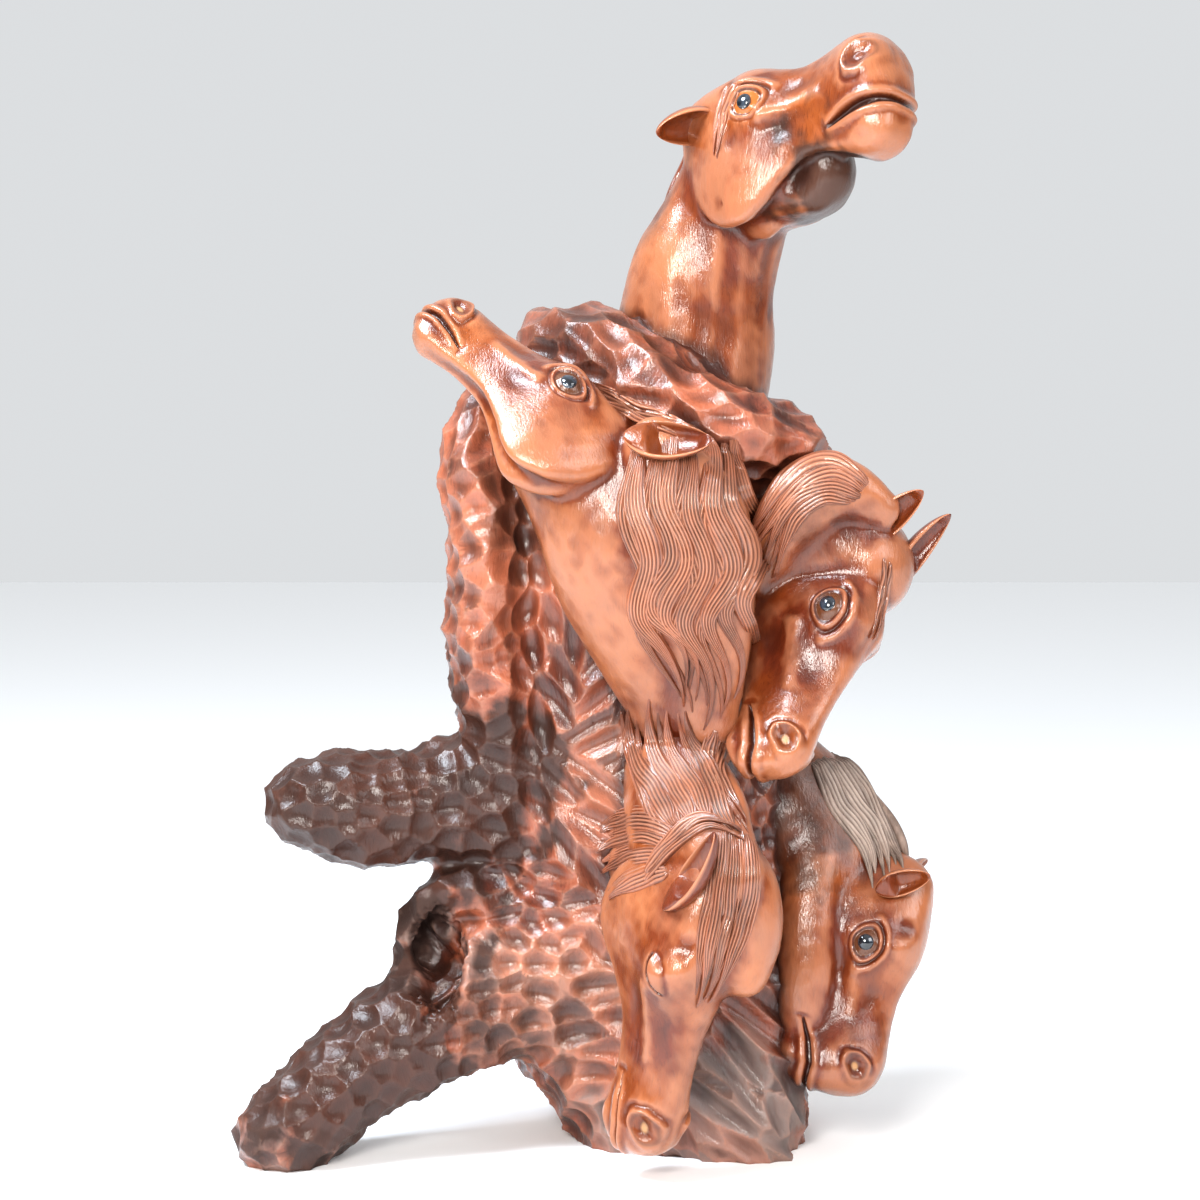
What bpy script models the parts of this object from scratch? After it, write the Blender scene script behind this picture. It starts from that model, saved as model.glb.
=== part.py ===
# Tree-root carving with five horse heads: one carved root, and the dark pupils let into its open eyes.
# Metres, +Z up, +X to the right of the carving's front, and the front faces -Y. The part's origin is
# on the floor under the middle of its box; the layout below is laid out about the trunk instead.
import math

import bmesh
import bpy
import numpy as np
from mathutils import Matrix, Vector

# ---------------------------------------------------------------- driving dimensions
FRAME_SHIFT = (0.006, 0.049, 0.0)  # from the layout's origin to the part's, under its middle
HEAD_LENGTH = 0.250  # poll to lips, of a head of scale 1
BODY_VOXEL = 0.007  # grid on which the trunk's limbs grow together
BODY_SMOOTHING = 12  # rounds that soften the creases between the limbs
SCOOP_SPACING = 0.042  # between gouge cuts along the grain
SCOOP_DEPTH = 0.008
SCOOP_SEED = 7
JOIN_VOXEL = 0.0042  # grid on which heads, necks, ears and hair join the trunk
ROOT_TRIANGLES = 9000  # of the finished root
KNOT_CENTRE = (-0.138, -0.105, 0.170)  # the rotted hollow above the lower root
KNOT_SIZE = (0.024, 0.060, 0.034)
KNOT_DEPTH = 0.020
PUPIL_RADIUS = 0.0065
PUPIL_DEPTH = 0.006
PUPIL_SUNK = 0.0035  # how much of its depth is below the eyeball
PUPIL_GAP = 0.0003  # between a pupil and its socket

# Half profile of a horse's head in head lengths: 0 is the poll and 1 the lips. Each section runs
# top, brow, side, jaw, chin, and the brow, side and jaw points have half widths.
HEAD_SHAPE = np.array([
    # along  top     brow w  brow z  side w  side z  jaw w   jaw z   chin
    [-0.100, -0.150, 0.000, -0.150, 0.000, -0.150, 0.000, -0.150, -0.150],
    [-0.075, -0.060, 0.045, -0.080, 0.060, -0.140, 0.045, -0.230, -0.240],
    [-0.020, -0.010, 0.075, -0.040, 0.095, -0.130, 0.070, -0.320, -0.330],
    [0.060, 0.012, 0.095, -0.022, 0.120, -0.130, 0.092, -0.400, -0.395],
    [0.150, 0.025, 0.115, -0.015, 0.140, -0.130, 0.104, -0.440, -0.420],
    [0.240, 0.033, 0.132, -0.012, 0.152, -0.130, 0.105, -0.450, -0.420],
    [0.330, 0.033, 0.145, -0.015, 0.160, -0.120, 0.098, -0.415, -0.385],
    [0.420, 0.018, 0.108, -0.020, 0.143, -0.125, 0.084, -0.355, -0.330],
    [0.530, 0.000, 0.066, -0.026, 0.115, -0.130, 0.070, -0.300, -0.287],
    [0.640, -0.014, 0.054, -0.038, 0.098, -0.134, 0.062, -0.274, -0.272],
    [0.740, -0.022, 0.058, -0.045, 0.096, -0.134, 0.060, -0.266, -0.278],
    [0.830, -0.026, 0.068, -0.050, 0.106, -0.132, 0.064, -0.270, -0.290],
    [0.910, -0.036, 0.068, -0.062, 0.102, -0.140, 0.064, -0.265, -0.285],
    [0.965, -0.064, 0.056, -0.090, 0.082, -0.152, 0.054, -0.248, -0.262],
    [0.995, -0.112, 0.030, -0.130, 0.045, -0.160, 0.030, -0.212, -0.218],
    [1.000, -0.165, 0.000, -0.165, 0.000, -0.165, 0.000, -0.165, -0.165],
])
MUZZLE_MIDDLE = -0.155
LIPS_BELOW = 0.039  # how far below the muzzle's middle the lips meet at the front, unswollen
JAW_BONE = [(0.40, -0.155), (0.50, -0.150), (0.64, -0.135)]

# Each head: where its poll is, the ways its face runs and its brow faces, its scale, and its
# width and depth against its length. muzzle and jowl swell those places. eye, nostril and corner
# (of the mouth) are along and up from the poll. eyes holds the sides with a pupil: -1 right, 1 left.
HEADS = {
    "top": dict(poll=(0.090, 0.000, 0.905), face=(0.80, -0.60, 0.25), brow=(-0.05, 0.35, 0.95),
                scale=0.82, wide=1.10, deep=1.35, muzzle=1.50, jowl=1.10,
                eye=(0.36, -0.11), nostril=(0.90, -0.07), corner=(0.67, -0.25), eyes=(-1, 1)),
    "left": dict(poll=(0.025, -0.130, 0.625), face=(-0.75, 0.30, 0.60), brow=(0.65, 0.55, 0.50),
                 scale=0.80, wide=0.95, deep=1.10, muzzle=1.05, jowl=0.90,
                 eye=(0.29, -0.10), nostril=(0.88, -0.10), corner=(0.74, -0.24), eyes=(1,)),
    "right": dict(poll=(0.245, -0.080, 0.520), face=(-0.35, -0.60, -1.00), brow=(0.90, -0.45, 0.00),
                  scale=0.88, wide=0.95, deep=1.50, muzzle=0.85, jowl=1.00,
                  eye=(0.34, -0.06), nostril=(0.87, -0.10), corner=(0.72, -0.24), eyes=(-1, 1)),
    "front": dict(poll=(0.110, -0.205, 0.260), face=(-0.20, 0.05, -1.00), brow=(0.75, -0.65, -0.20),
                  scale=1.00, wide=0.95, deep=1.00, muzzle=1.05, jowl=0.80,
                  eye=(0.35, -0.12), nostril=(0.88, -0.08), corner=(0.72, -0.24), eyes=()),
    "low": dict(poll=(0.290, -0.050, 0.230), face=(-0.30, -0.25, -0.90), brow=(0.95, -0.20, -0.25),
                scale=0.80, wide=1.00, deep=1.35, muzzle=1.35, jowl=0.95,
                eye=(0.35, -0.14), nostril=(0.86, -0.06), corner=(0.72, -0.27), eyes=(-1, 1)),
}

# Each limb's stations: centre, half width across the front view and half depth along it.
# square is 2 for an elliptical section and more for a boxier one.
TRUNK_LIMBS = {
    "trunk": dict(square=2.4, stations=[
        (0.055, 0.010, 0.640, 0.085, 0.080), (0.036, 0.010, 0.585, 0.135, 0.105),
        (0.026, 0.010, 0.490, 0.130, 0.105), (0.024, 0.010, 0.390, 0.122, 0.100),
        (0.036, 0.010, 0.300, 0.135, 0.108), (0.040, 0.012, 0.210, 0.140, 0.115),
        (0.048, 0.015, 0.130, 0.140, 0.120), (0.070, 0.020, 0.060, 0.118, 0.118),
        (0.085, 0.025, -0.050, 0.095, 0.110)]),
    "chest": dict(square=2.2, stations=[
        (-0.040, -0.005, 0.655, 0.040, 0.060), (0.045, -0.030, 0.630, 0.060, 0.075),
        (0.140, -0.010, 0.585, 0.045, 0.070)]),
    "shoulder": dict(square=2.0, stations=[
        (-0.038, -0.005, 0.700, 0.030, 0.040), (0.002, -0.040, 0.692, 0.036, 0.046),
        (0.055, -0.075, 0.654, 0.034, 0.045), (0.110, -0.085, 0.630, 0.034, 0.045),
        (0.155, -0.050, 0.612, 0.036, 0.050), (0.162, -0.010, 0.560, 0.042, 0.055)]),
    "rib": dict(square=2.0, stations=[
        (-0.095, -0.020, 0.655, 0.024, 0.040), (-0.106, -0.040, 0.605, 0.030, 0.050),
        (-0.098, -0.050, 0.530, 0.032, 0.055), (-0.098, -0.050, 0.445, 0.034, 0.055),
        (-0.082, -0.040, 0.365, 0.034, 0.050), (-0.062, -0.025, 0.300, 0.040, 0.050)]),
    "upper_root": dict(square=2.8, stations=[
        (-0.010, 0.005, 0.305, 0.085, 0.080), (-0.090, -0.025, 0.305, 0.062, 0.060),
        (-0.160, -0.045, 0.300, 0.047, 0.050), (-0.215, -0.065, 0.300, 0.046, 0.048),
        (-0.250, -0.080, 0.305, 0.038, 0.040)]),
    "lower_root": dict(square=2.4, stations=[
        (0.020, 0.000, 0.165, 0.105, 0.095), (-0.070, -0.030, 0.150, 0.085, 0.070),
        (-0.130, -0.055, 0.122, 0.058, 0.058), (-0.200, -0.085, 0.080, 0.045, 0.050),
        (-0.275, -0.110, 0.022, 0.038, 0.046)]),
    "knot_rim": dict(square=2.0, stations=[
        (-0.172, -0.060, 0.165, 0.010, 0.016), (-0.160, -0.068, 0.200, 0.015, 0.022),
        (-0.132, -0.066, 0.228, 0.018, 0.026), (-0.095, -0.055, 0.222, 0.026, 0.030)]),
    "left_toe": dict(square=2.4, stations=[
        (0.045, 0.060, 0.120, 0.090, 0.070), (0.035, 0.080, 0.050, 0.070, 0.060),
        (0.025, 0.090, -0.040, 0.050, 0.050)]),
    "right_toe": dict(square=2.4, stations=[
        (0.090, -0.010, 0.190, 0.088, 0.080), (0.108, -0.030, 0.110, 0.080, 0.080),
        (0.120, -0.058, 0.040, 0.062, 0.066), (0.132, -0.070, -0.040, 0.048, 0.055)]),
}
NECKS = {
    "neck_top": dict(square=2.2, stations=[
        (0.128, -0.010, 0.862, 0.048, 0.045), (0.110, -0.004, 0.810, 0.054, 0.046),
        (0.088, 0.005, 0.750, 0.064, 0.054), (0.082, 0.015, 0.685, 0.072, 0.066),
        (0.080, 0.020, 0.600, 0.072, 0.080)]),
    "throat_top": dict(square=2.0, stations=[
        (0.200, 0.006, 0.862, 0.014, 0.018), (0.202, 0.010, 0.842, 0.021, 0.024),
        (0.194, 0.012, 0.828, 0.026, 0.030), (0.170, 0.010, 0.827, 0.031, 0.034),
        (0.138, 0.004, 0.826, 0.032, 0.036)]),
    "neck_left": dict(square=2.2, stations=[
        (-0.016, -0.112, 0.600, 0.060, 0.048), (0.010, -0.122, 0.560, 0.068, 0.050),
        (0.032, -0.122, 0.505, 0.070, 0.050), (0.056, -0.110, 0.440, 0.058, 0.046),
        (0.080, -0.080, 0.365, 0.040, 0.038)]),
    "neck_right": dict(square=2.2, stations=[
        (0.095, -0.010, 0.455, 0.075, 0.070), (0.140, -0.035, 0.505, 0.068, 0.062),
        (0.180, -0.055, 0.530, 0.060, 0.052), (0.222, -0.070, 0.510, 0.048, 0.045)]),
    "neck_front": dict(square=2.2, stations=[
        (0.060, -0.070, 0.345, 0.040, 0.040), (0.070, -0.120, 0.300, 0.050, 0.042),
        (0.084, -0.150, 0.255, 0.054, 0.046), (0.095, -0.165, 0.205, 0.052, 0.046)]),
    "neck_low": dict(square=2.2, stations=[
        (0.110, 0.010, 0.365, 0.070, 0.060), (0.156, -0.005, 0.305, 0.062, 0.055),
        (0.188, -0.020, 0.245, 0.060, 0.050), (0.205, -0.030, 0.190, 0.055, 0.045)]),
    "throat_low": dict(square=2.4, stations=[
        (0.190, -0.030, 0.285, 0.030, 0.030), (0.184, -0.052, 0.225, 0.032, 0.032),
        (0.178, -0.066, 0.170, 0.029, 0.034), (0.176, -0.072, 0.120, 0.026, 0.030),
        (0.176, -0.074, 0.078, 0.020, 0.022)]),
}

# Hair that stands proud of the necks. locks is how many ridges run along a swathe's face.
MANES = {
    "mane_left": dict(square=2.2, locks=4, stations=[
        (0.042, -0.163, 0.612, 0.024, 0.012), (0.062, -0.165, 0.555, 0.038, 0.022),
        (0.080, -0.152, 0.475, 0.038, 0.022), (0.090, -0.130, 0.385, 0.016, 0.012)]),
    "mane_right": dict(square=2.2, locks=3, stations=[
        (0.240, -0.100, 0.560, 0.016, 0.014), (0.200, -0.105, 0.578, 0.028, 0.020),
        (0.160, -0.100, 0.552, 0.030, 0.020), (0.136, -0.090, 0.495, 0.014, 0.012)]),
    "mane_front": dict(square=2.2, locks=4, stations=[
        (0.080, -0.100, 0.440, 0.022, 0.012), (0.075, -0.115, 0.385, 0.034, 0.016),
        (0.072, -0.140, 0.335, 0.046, 0.018), (0.085, -0.178, 0.300, 0.044, 0.020),
        (0.108, -0.200, 0.266, 0.028, 0.018)]),
    "mane_low": dict(square=2.2, locks=2, stations=[
        (0.180, 0.000, 0.345, 0.012, 0.018), (0.206, -0.008, 0.320, 0.020, 0.026),
        (0.236, -0.016, 0.285, 0.020, 0.026), (0.258, -0.030, 0.245, 0.012, 0.018)]),
    "mane_top": dict(square=2.2, locks=2, stations=[
        (0.102, 0.020, 0.885, 0.014, 0.022), (0.082, 0.022, 0.830, 0.016, 0.026),
        (0.062, 0.022, 0.770, 0.018, 0.030), (0.048, 0.020, 0.710, 0.014, 0.026)]),
}

# Each ear: base, tip, the way it opens, and its width. MIRRORED_EARS are the ears that have a
# partner across their head.
EARS = {
    "top_near": dict(base=(0.096, -0.036, 0.884), tip=(0.047, -0.050, 0.880),
                     mouth=(-0.1, -0.80, -0.6), wide=0.038),
    "left_near": dict(base=(0.026, -0.166, 0.620), tip=(0.090, -0.168, 0.618),
                      mouth=(0.05, -0.97, -0.2), wide=0.027),
    "right_near": dict(base=(0.232, -0.100, 0.540), tip=(0.272, -0.108, 0.577),
                       mouth=(0.1, -0.9, -0.3), wide=0.028),
    "right_far": dict(base=(0.260, -0.078, 0.505), tip=(0.298, -0.070, 0.555),
                      mouth=(0.5, -0.7, -0.4), wide=0.028),
    "front_near": dict(base=(0.060, -0.214, 0.253), tip=(0.095, -0.238, 0.302),
                       mouth=(-0.7, -0.6, 0.3), wide=0.026),
    "front_far": dict(base=(0.122, -0.198, 0.213), tip=(0.125, -0.202, 0.288),
                      mouth=(0.3, -0.9, 0.0), wide=0.036),
    "low_near": dict(base=(0.246, -0.086, 0.234), tip=(0.283, -0.092, 0.246),
                     mouth=(0.1, -0.9, -0.2), wide=0.024),
    "low_far": dict(base=(0.272, -0.036, 0.232), tip=(0.288, 0.008, 0.242),
                    mouth=(0.5, 0.8, 0.1), wide=0.022),
}
MIRRORED_EARS = {"top_far": ("top", "top_near")}


# ---------------------------------------------------------------- curves and numbers
def smooth_rows(rows, u):
    """Catmull-Rom curve through rows, one row a point, read at the parameters u."""
    i = np.clip(np.floor(u).astype(int), 0, len(rows) - 2)
    t = (u - i)[:, None]
    before, start = rows[np.maximum(i - 1, 0)], rows[i]
    end, after = rows[i + 1], rows[np.minimum(i + 2, len(rows) - 1)]
    return 0.5 * (2 * start + (end - before) * t + (2 * before - 5 * start + 4 * end - after) * t**2
                  + (3 * start - before - 3 * end + after) * t**3)


def ramp(a, low, high):
    """0 below low, 1 above high, and smooth between."""
    t = np.clip((a - low) / (high - low), 0, 1)
    return t * t * (3 - 2 * t)


def bell(distance, width):
    return np.exp(-((distance / width) ** 2))


def unit(v):
    v = np.asarray(v, float)
    return v / np.linalg.norm(v, axis=-1, keepdims=True)


# ---------------------------------------------------------------- meshes
def mesh_object(name, points, faces):
    mesh = bpy.data.meshes.new(name)
    mesh.from_pydata(points.tolist(), [], faces)
    obj = bpy.data.objects.new(name, mesh)
    bpy.context.scene.collection.objects.link(obj)
    return obj


def tube_object(name, rings):
    """Closed tube through rings of points; the first and the last ring are filled."""
    count, around = rings.shape[:2]
    i, j = np.meshgrid(np.arange(count - 1), np.arange(around), indexing="ij")
    a, b = i * around + j, i * around + (j + 1) % around
    faces = np.stack([a, b, b + around, a + around], -1).reshape(-1, 4)
    points = rings.reshape(-1, 3)
    across = points[faces[:, 2]] - points[faces[:, 0]], points[faces[:, 3]] - points[faces[:, 1]]
    volume = np.einsum("ij,ij->", points[faces[:, 0]] - points.mean(0), np.cross(*across))
    ends = [list(range(around))[::-1], list(range((count - 1) * around, count * around))]
    faces = faces.tolist() + ends
    if volume < 0:
        faces = [face[::-1] for face in faces]
    return mesh_object(name, points, faces)


def limb(name, stations, square=2.0, locks=0, steps=9, around=28):
    """Tube through the stations with superellipse sections and rounded ends."""
    rows = np.array(stations, float)
    r = smooth_rows(rows, np.linspace(0, len(rows) - 1, (len(rows) - 1) * steps + 1))
    turn = np.linspace(0, 0.49 * math.pi, 6)[1:, None]
    centre, half = r[:, :3], r[:, 3:]
    along = unit(np.gradient(centre, axis=0))
    # the ends close along a quarter circle
    first = centre[0] - along[0] * half[0, 0] * np.sin(turn[::-1])
    last = centre[-1] + along[-1] * half[-1, 0] * np.sin(turn)
    centre = np.concatenate([first, centre, last])
    half = np.concatenate([half[0] * np.cos(turn[::-1]), half, half[-1] * np.cos(turn)])
    along = np.concatenate([np.repeat(along[:1], 5, 0), along, np.repeat(along[-1:], 5, 0)])
    front = np.array([0.0, -1.0, 0.0])
    deep_way = unit(front - (along @ front)[:, None] * along)
    wide_way = np.cross(along, deep_way)
    angle = np.linspace(0, 2 * math.pi, around, endpoint=False)
    ring_wide = np.sign(np.cos(angle)) * np.abs(np.cos(angle)) ** (2 / square)
    ring_deep = np.sign(np.sin(angle)) * np.abs(np.sin(angle)) ** (2 / square)
    if locks:
        ridge = 1 + 0.22 * np.abs(np.cos(angle * locks)) * ramp(np.sin(angle), 0.1, 0.5)
        ring_deep = ring_deep * ridge
    across = ring_wide[None, :, None] * wide_way[:, None] * half[:, :1, None]
    through = ring_deep[None, :, None] * deep_way[:, None] * half[:, 1:, None]
    return tube_object(name, centre[:, None] + across + through)


def head_grid(head, along_count, around_count):
    """Plain head in head lengths: face along +X, left side +Y, brow +Z."""
    r = smooth_rows(HEAD_SHAPE, np.linspace(0, len(HEAD_SHAPE) - 1, along_count))
    x, top, brow_w, brow_z, side_w, side_z, jaw_w, jaw_z, chin = r.T
    jaw_w = jaw_w * (1 + (head["jowl"] - 1) * bell(x - 0.25, 0.25))
    none = np.zeros_like(x)
    half_ring = [(none, top), (brow_w, brow_z), (side_w, side_z), (jaw_w, jaw_z), (none, chin)]
    ring = half_ring + [(-y, z) for y, z in half_ring[3:0:-1]]
    ring = [ring[-1]] + ring + ring[:2]  # so that the curve closes smoothly
    around = np.linspace(1, 9, around_count, endpoint=False)
    y = smooth_rows(np.array([point[0] for point in ring]), around).T
    z = smooth_rows(np.array([point[1] for point in ring]), around).T
    swell = 1 + (head["muzzle"] - 1) * ramp(x, 0.50, 0.85)[:, None]
    z = MUZZLE_MIDDLE + (z - MUZZLE_MIDDLE) * swell
    return np.stack([np.repeat(x[:, None], around_count, 1), y * swell, z], -1)


def line_distance(x, z, points):
    """Distance to a line of points, and the share of the way along it."""
    best, share = np.full(x.shape, 9.0), np.zeros(x.shape)
    for k, (a, b) in enumerate(zip(points, points[1:])):
        dx, dz = b[0] - a[0], b[1] - a[1]
        t = np.clip(((x - a[0]) * dx + (z - a[1]) * dz) / (dx * dx + dz * dz), 0, 1)
        distance = np.hypot(x - a[0] - t * dx, z - a[1] - t * dz)
        share = np.where(distance < best, (k + t) / (len(points) - 1), share)
        best = np.minimum(distance, best)
    return best, share


def carved_head(head, grid):
    """Adds the cheek, eyes, nostrils, mouth and chin along the grid's normals."""
    normal = np.cross(np.gradient(grid, axis=0), np.roll(grid, -1, 1) - np.roll(grid, 1, 1))
    normal /= np.maximum(np.linalg.norm(normal, axis=-1, keepdims=True), 1e-9)
    x, y, z = grid[..., 0], grid[..., 1], grid[..., 2]
    side = ramp(np.abs(y), 0.02, 0.06)
    bone, share = line_distance(x, z, JAW_BONE)
    height = 0.016 * bell(bone, 0.024) * (1 - 0.5 * share)
    height += 0.022 * bell(np.hypot((x - 0.19) / 0.15, (z + 0.27) / 0.14), 1.0)  # cheek
    height -= 0.012 * bell(np.hypot((x - 0.47) / 0.06, (z + 0.215) / 0.03), 1.0)  # under the cheekbone
    height -= 0.016 * bell(np.hypot((x - 0.235) / 0.045, (z + 0.035) / 0.03), 1.0)  # temple
    eye_x, eye_z = head["eye"]
    eye = np.hypot(x - eye_x, z - eye_z)
    height += 0.026 * bell(eye, 0.085)
    if head["eyes"]:
        height += 0.012 * bell(eye - 0.060, 0.014) - 0.008 * bell(eye - 0.085, 0.012)
    else:
        height -= 0.010 * bell(z - eye_z, 0.010) * bell(x - eye_x, 0.05)
    nostril_x, nostril_z = head["nostril"]
    hole = np.hypot((x - nostril_x) / 0.050, (z - nostril_z) / 0.038)
    height += 0.018 * bell(hole - 1.15, 0.35) - 0.034 * (1 - ramp(hole, 0.45, 0.95))
    height *= side
    corner_x, corner_z = head["corner"]
    front = MUZZLE_MIDDLE - LIPS_BELOW * head["muzzle"]
    lips, share = line_distance(x, z, [(corner_x, corner_z), (0.90, front - 0.002), (1.03, front)])
    height -= 0.028 * bell(lips, 0.012) * ramp(share, 0.0, 0.15)
    height += 0.010 * bell(lips - 0.028, 0.014) * ramp(share, 0.05, 0.4)
    height += 0.012 * bell(np.hypot((x - 0.885) / 0.045, (z + 0.28) / 0.03), 1.0)  # chin
    return grid + normal * height[..., None]


def head_axes(head):
    """Columns: the head's face, left and brow directions."""
    face = unit(head["face"])
    brow = np.array(head["brow"], float)
    brow = unit(brow - (brow @ face) * face)
    return np.column_stack([face, np.cross(brow, face), brow])


def head_to_world(head, points):
    size = HEAD_LENGTH * head["scale"] * np.array([1.0, head["wide"], head["deep"]])
    return np.array(head["poll"]) + (points * size) @ head_axes(head).T


def horse_head(name, head, along=110, around=88):
    grid = carved_head(head, head_grid(head, along, around))
    return tube_object(name, head_to_world(head, grid))


def ear(name, base, tip, mouth, wide, rings=18, around=12):
    """Leaf-shaped cup: every section is a crescent that opens towards mouth."""
    base, up = np.array(base), np.array(tip) - np.array(base)
    length = np.linalg.norm(up)
    up = up / length
    mouth = np.array(mouth, float)
    mouth = unit(mouth - (mouth @ up) * up)
    across = np.cross(up, mouth)
    share = np.linspace(-0.2, 1.0, rings)
    leaf = 0.5 * wide * np.sqrt(np.clip(1 - np.abs((share - 0.36) / 0.65) ** 2.4, 0.01, 1))
    hollow = (ramp(share, 0.1, 0.35) * ramp(1 - share, 0.02, 0.25))[:, None]
    angle = np.linspace(0, math.pi, around, endpoint=False)
    back = np.stack([np.cos(angle), -np.sin(angle)], 1)[None].repeat(rings, 0)
    inner_wide = -0.85 * np.cos(angle)[None].repeat(rings, 0)
    inner_deep = 0.30 * np.sin(angle) * (1 - hollow) + hollow * (0.15 - 0.75 * np.sin(angle))
    ring = np.concatenate([back, np.stack([inner_wide, inner_deep], -1)], 1) * leaf[:, None, None]
    centre = base + up * (length * share)[:, None]
    rings_out = centre[:, None] + ring[..., :1] * across + 0.9 * ring[..., 1:] * mouth
    return tube_object(name, rings_out)


def all_ears():
    """The ears placed by hand, and the partners of those that are mirrored across their head."""
    ears = dict(EARS)
    for name, (head_name, partner) in MIRRORED_EARS.items():
        head, near = HEADS[head_name], EARS[partner]
        across = head_axes(head)[:, 1]
        flip = np.eye(3) - 2 * np.outer(across, across)
        poll = np.array(head["poll"])
        ears[name] = dict(base=poll + flip @ (near["base"] - poll), tip=poll + flip @ (near["tip"] - poll),
                          mouth=flip @ np.array(near["mouth"]), wide=near["wide"])
    return ears


# ---------------------------------------------------------------- gouged surface
def grain_samples(limbs):
    """Points along every limb's centre, and the way the limb runs there."""
    places, ways = [], []
    for spec in limbs.values():
        rows = np.array(spec["stations"])[:, :3]
        centre = smooth_rows(rows, np.linspace(0, len(rows) - 1, 8 * len(rows)))
        places.append(centre)
        ways.append(unit(np.gradient(centre, axis=0)))
    return np.concatenate(places), np.concatenate(ways)


def scoop_depths(points, normals, grain):
    """How deep a gouge has cut at each point: the deepest of many shallow oval bowls."""
    order = np.random.default_rng(SCOOP_SEED).permutation(len(points))
    free = np.ones(len(points), bool)
    depth = np.zeros(len(points))
    for k in order:
        if not free[k]:
            continue
        offset = points - points[k]
        way = unit(grain[k] - (grain[k] @ normals[k]) * normals[k])
        along = offset @ way
        rise = offset @ normals[k]
        across = np.sqrt(np.maximum((offset**2).sum(1) - along**2 - rise**2, 0))
        reach = np.hypot(along / SCOOP_SPACING, across / (0.75 * SCOOP_SPACING))
        near = np.abs(rise) < SCOOP_SPACING
        free &= ~(near & (reach < 0.85))
        bowl = SCOOP_DEPTH * (1 - reach**2 + 0.35 * along / SCOOP_SPACING)
        depth = np.where(near, np.maximum(depth, bowl), depth)
    return depth


def gouge(obj, limbs):
    """Cuts the gouge marks and the rotted knot into a trunk mesh."""
    mesh = obj.data
    points, normals = np.empty(len(mesh.vertices) * 3), np.empty(len(mesh.vertices) * 3)
    mesh.vertices.foreach_get("co", points)
    mesh.vertex_normals.foreach_get("vector", normals)
    points, normals = points.reshape(-1, 3), normals.reshape(-1, 3)
    places, ways = grain_samples(limbs)
    nearest = np.array([((places - p) ** 2).sum(1).argmin() for p in points])
    depth = scoop_depths(points, normals, ways[nearest])
    knot = np.linalg.norm((points - KNOT_CENTRE) / KNOT_SIZE, axis=1)
    depth += KNOT_DEPTH * (1 - ramp(knot, 0.5, 1.1))
    depth -= SCOOP_DEPTH / 2  # so that the gouging takes nothing off the outline
    mesh.vertices.foreach_set("co", (points - normals * depth[:, None]).ravel())
    mesh.update()


# ---------------------------------------------------------------- joining
def principled(name, colour, roughness):
    material = bpy.data.materials.new(name)
    material.use_nodes = True
    shader = material.node_tree.nodes["Principled BSDF"]
    shader.inputs["Base Color"].default_value = (*colour, 1)
    shader.inputs["Roughness"].default_value = roughness
    return material


def joined(name, pieces):
    """One mesh that holds every piece as it is evaluated; the pieces are removed."""
    graph = bpy.context.evaluated_depsgraph_get()
    points, faces, first = [], [], 0
    for piece in pieces:
        mesh = piece.evaluated_get(graph).data
        corners = np.empty(len(mesh.vertices) * 3)
        mesh.vertices.foreach_get("co", corners)
        points.append(corners.reshape(-1, 3))
        faces += [[v + first for v in polygon.vertices] for polygon in mesh.polygons]
        first += len(mesh.vertices)
    result = mesh_object(name, np.concatenate(points), faces)
    for piece in pieces:
        bpy.data.objects.remove(piece)
    return result


def modifier(obj, kind, **settings):
    added = obj.modifiers.new(kind.title(), kind)
    for key, value in settings.items():
        setattr(added, key, value)


def tool(obj):
    """Marks an object that only shapes another one."""
    obj.hide_render = True
    obj.display_type = "WIRE"
    return obj


def stand_flat(obj):
    """Cuts away what is below the floor and closes the feet with flat faces."""
    shape = bmesh.new()
    shape.from_mesh(obj.data)
    every = shape.verts[:] + shape.edges[:] + shape.faces[:]
    bmesh.ops.bisect_plane(shape, geom=every, dist=1e-6, plane_co=(0, 0, 0), plane_no=(0, 0, 1),
                           clear_inner=True)
    rim = [edge for edge in shape.edges if edge.is_boundary]
    bmesh.ops.holes_fill(shape, edges=rim)
    bmesh.ops.triangulate(shape, faces=[face for face in shape.faces if len(face.verts) > 4])
    shape.to_mesh(obj.data)
    shape.free()


def disc(name, centre, look, radius, below, above):
    """Disc on an eyeball: centre is on the eyeball, and look points away from it."""
    shape = bmesh.new()
    middle = Matrix.Translation(centre + look * (above - below) / 2)
    turned = middle @ look.to_track_quat("Z", "Y").to_matrix().to_4x4()
    bmesh.ops.create_cone(shape, cap_ends=True, segments=16, radius1=radius, radius2=radius,
                          depth=above + below, matrix=turned)
    mesh = bpy.data.meshes.new(name)
    shape.to_mesh(mesh)
    shape.free()
    obj = bpy.data.objects.new(name, mesh)
    bpy.context.scene.collection.objects.link(obj)
    return obj


def add_pupils(root):
    """A dark disc in a socket of its own in each open eye."""
    material = principled("black_polished_pupil", (0.012, 0.014, 0.018), 0.08)
    for name, head in HEADS.items():
        for side in head["eyes"]:
            outside = Vector(head_to_world(head, np.array([head["eye"][0], side * 0.30, head["eye"][1]])))
            look = Vector(head_axes(head) @ unit([0.10, side, 0.10]))
            hit, centre, _, _ = root.ray_cast(outside, -look)
            full = "pupil_" + name + ("_right" if side < 0 else "_left")
            socket = disc(full + "_socket", centre, look, PUPIL_RADIUS + PUPIL_GAP,
                          PUPIL_SUNK + PUPIL_GAP, 0.010)
            modifier(root, "BOOLEAN", operation="DIFFERENCE", solver="EXACT", object=tool(socket))
            pupil = disc(full, centre, look, PUPIL_RADIUS, PUPIL_SUNK, PUPIL_DEPTH - PUPIL_SUNK)
            pupil.data.materials.append(material)


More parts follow.
